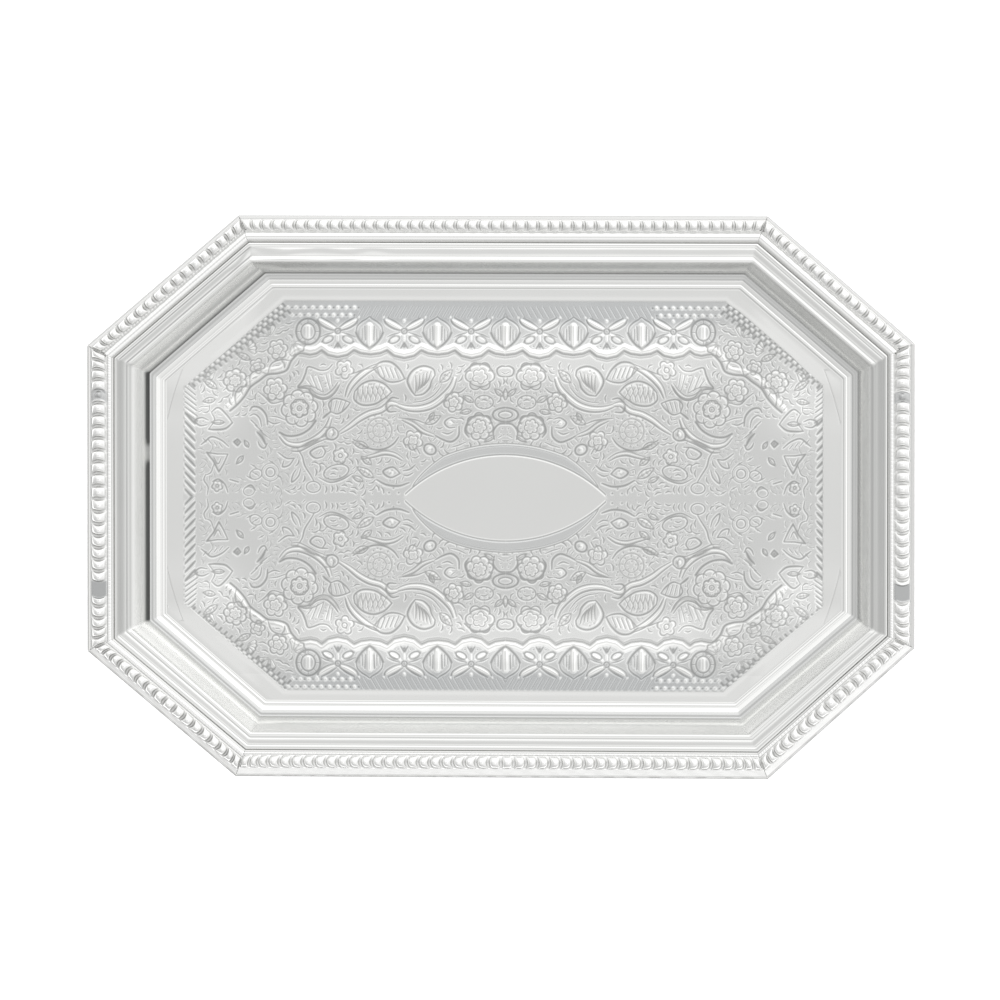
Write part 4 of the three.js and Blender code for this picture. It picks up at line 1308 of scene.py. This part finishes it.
world = bpy.data.worlds.new("studio")
bpy.context.scene.world = world
world.use_nodes = True
wt = world.node_tree
wt.nodes.clear()
wo = wt.nodes.new("ShaderNodeOutputWorld")
bg = wt.nodes.new("ShaderNodeBackground")
wc = wt.nodes.new("ShaderNodeTexCoord")
sep = wt.nodes.new("ShaderNodeSeparateXYZ")
wt.links.new(wc.outputs["Generated"], sep.inputs[0])
ramp = wt.nodes.new("ShaderNodeValToRGB")
mr = wt.nodes.new("ShaderNodeMapRange")
mr.inputs["From Min"].default_value = -0.1
mr.inputs["From Max"].default_value = 1.0
# the soft grey patch overhead stands a little off the vertical
lean = wt.nodes.new("ShaderNodeVectorMath")
lean.operation = "DOT_PRODUCT"
lean.inputs[1].default_value = (-0.0888, -0.0417, 0.9952)
wt.links.new(wc.outputs["Generated"], lean.inputs[0])
wt.links.new(lean.outputs["Value"], mr.inputs["Value"])
wt.links.new(mr.outputs["Result"], ramp.inputs["Fac"])
LEVELS = [(-0.1, 0.84), (0.0, 0.84), (0.2, 0.92), (0.4, 1.00), (0.6, 1.07), (0.75, 1.15), (0.88, 1.22), (0.96, 1.20), (0.982, 1.04), (0.992, 0.875), (1.0, 0.815)]
el = ramp.color_ramp.elements
while len(el) > 1:
    el.remove(el[-1])
for k, (z, v) in enumerate(LEVELS):
    pos = (z + 0.1) / 1.1
    e = el[0] if k == 0 else el.new(pos)
    e.position = pos
    v2 = v / 1.6
    e.color = (v2, v2, v2, 1)
ax = wt.nodes.new("ShaderNodeMath"); ax.operation = "MULTIPLY"; ax.inputs[1].default_value = 0.2
ay = wt.nodes.new("ShaderNodeMath"); ay.operation = "MULTIPLY_ADD"; ay.inputs[1].default_value = 0.31
az = wt.nodes.new("ShaderNodeMath"); az.operation = "ADD"; az.inputs[1].default_value = 1.0
wt.links.new(sep.outputs["X"], ax.inputs[0])
wt.links.new(sep.outputs["Y"], ay.inputs[0])
wt.links.new(ax.outputs[0], ay.inputs[2])
wt.links.new(ay.outputs[0], az.inputs[0])
# darker towards the short ends of the tray than towards its long sides
xx_ = wt.nodes.new("ShaderNodeMath"); xx_.operation = "MULTIPLY"
wt.links.new(sep.outputs["X"], xx_.inputs[0]); wt.links.new(sep.outputs["X"], xx_.inputs[1])
yy_ = wt.nodes.new("ShaderNodeMath"); yy_.operation = "MULTIPLY_ADD"; yy_.inputs[2].default_value = 0.02
wt.links.new(sep.outputs["Y"], yy_.inputs[0]); wt.links.new(sep.outputs["Y"], yy_.inputs[1])
sum_ = wt.nodes.new("ShaderNodeMath"); sum_.operation = "ADD"
wt.links.new(xx_.outputs[0], sum_.inputs[0]); wt.links.new(yy_.outputs[0], sum_.inputs[1])
frac = wt.nodes.new("ShaderNodeMath"); frac.operation = "DIVIDE"
wt.links.new(xx_.outputs[0], frac.inputs[0]); wt.links.new(sum_.outputs[0], frac.inputs[1])
sq_ = wt.nodes.new("ShaderNodeMath"); sq_.operation = "MULTIPLY"
wt.links.new(frac.outputs[0], sq_.inputs[0]); wt.links.new(frac.outputs[0], sq_.inputs[1])
high_ = wt.nodes.new("ShaderNodeMapRange"); high_.interpolation_type = "SMOOTHSTEP"
high_.inputs["From Min"].default_value = 0.3; high_.inputs["From Max"].default_value = 0.6
high_.inputs["To Min"].default_value = 0.0; high_.inputs["To Max"].default_value = -0.20
wt.links.new(sep.outputs["Z"], high_.inputs["Value"])
ends_ = wt.nodes.new("ShaderNodeMath"); ends_.operation = "MULTIPLY_ADD"
crown = wt.nodes.new("ShaderNodeMapRange"); crown.interpolation_type = "SMOOTHSTEP"
crown.inputs["From Min"].default_value = 0.84; crown.inputs["From Max"].default_value = 0.95
crown.inputs["To Min"].default_value = 1.0; crown.inputs["To Max"].default_value = 0.3
wt.links.new(sep.outputs["Z"], crown.inputs["Value"])
share_ = wt.nodes.new("ShaderNodeMath"); share_.operation = "MULTIPLY"
wt.links.new(high_.outputs["Result"], share_.inputs[0]); wt.links.new(crown.outputs["Result"], share_.inputs[1])
wt.links.new(share_.outputs[0], ends_.inputs[1])
wt.links.new(sq_.outputs[0], ends_.inputs[0]); wt.links.new(az.outputs[0], ends_.inputs[2])
mul = wt.nodes.new("ShaderNodeMath"); mul.operation = "MULTIPLY"
wt.links.new(ramp.outputs["Color"], mul.inputs[0])
wt.links.new(ends_.outputs[0], mul.inputs[1])
mul2 = wt.nodes.new("ShaderNodeMath"); mul2.operation = "MULTIPLY"; mul2.inputs[1].default_value = 1.6
wt.links.new(mul.outputs[0], mul2.inputs[0])
wt.links.new(mul2.outputs[0], bg.inputs["Strength"])
bg.inputs["Color"].default_value = (1, 1, 1, 1)
wt.links.new(bg.outputs[0], wo.inputs["Surface"])

sc = bpy.context.scene
sc.view_settings.view_transform = "Standard"
sc.view_settings.look = "None"
sc.view_settings.exposure = 0.0
sc.view_settings.gamma = 1.0
sc.cycles.max_bounces = 6
sc.cycles.glossy_bounces = 4
sc.cycles.use_denoising = True
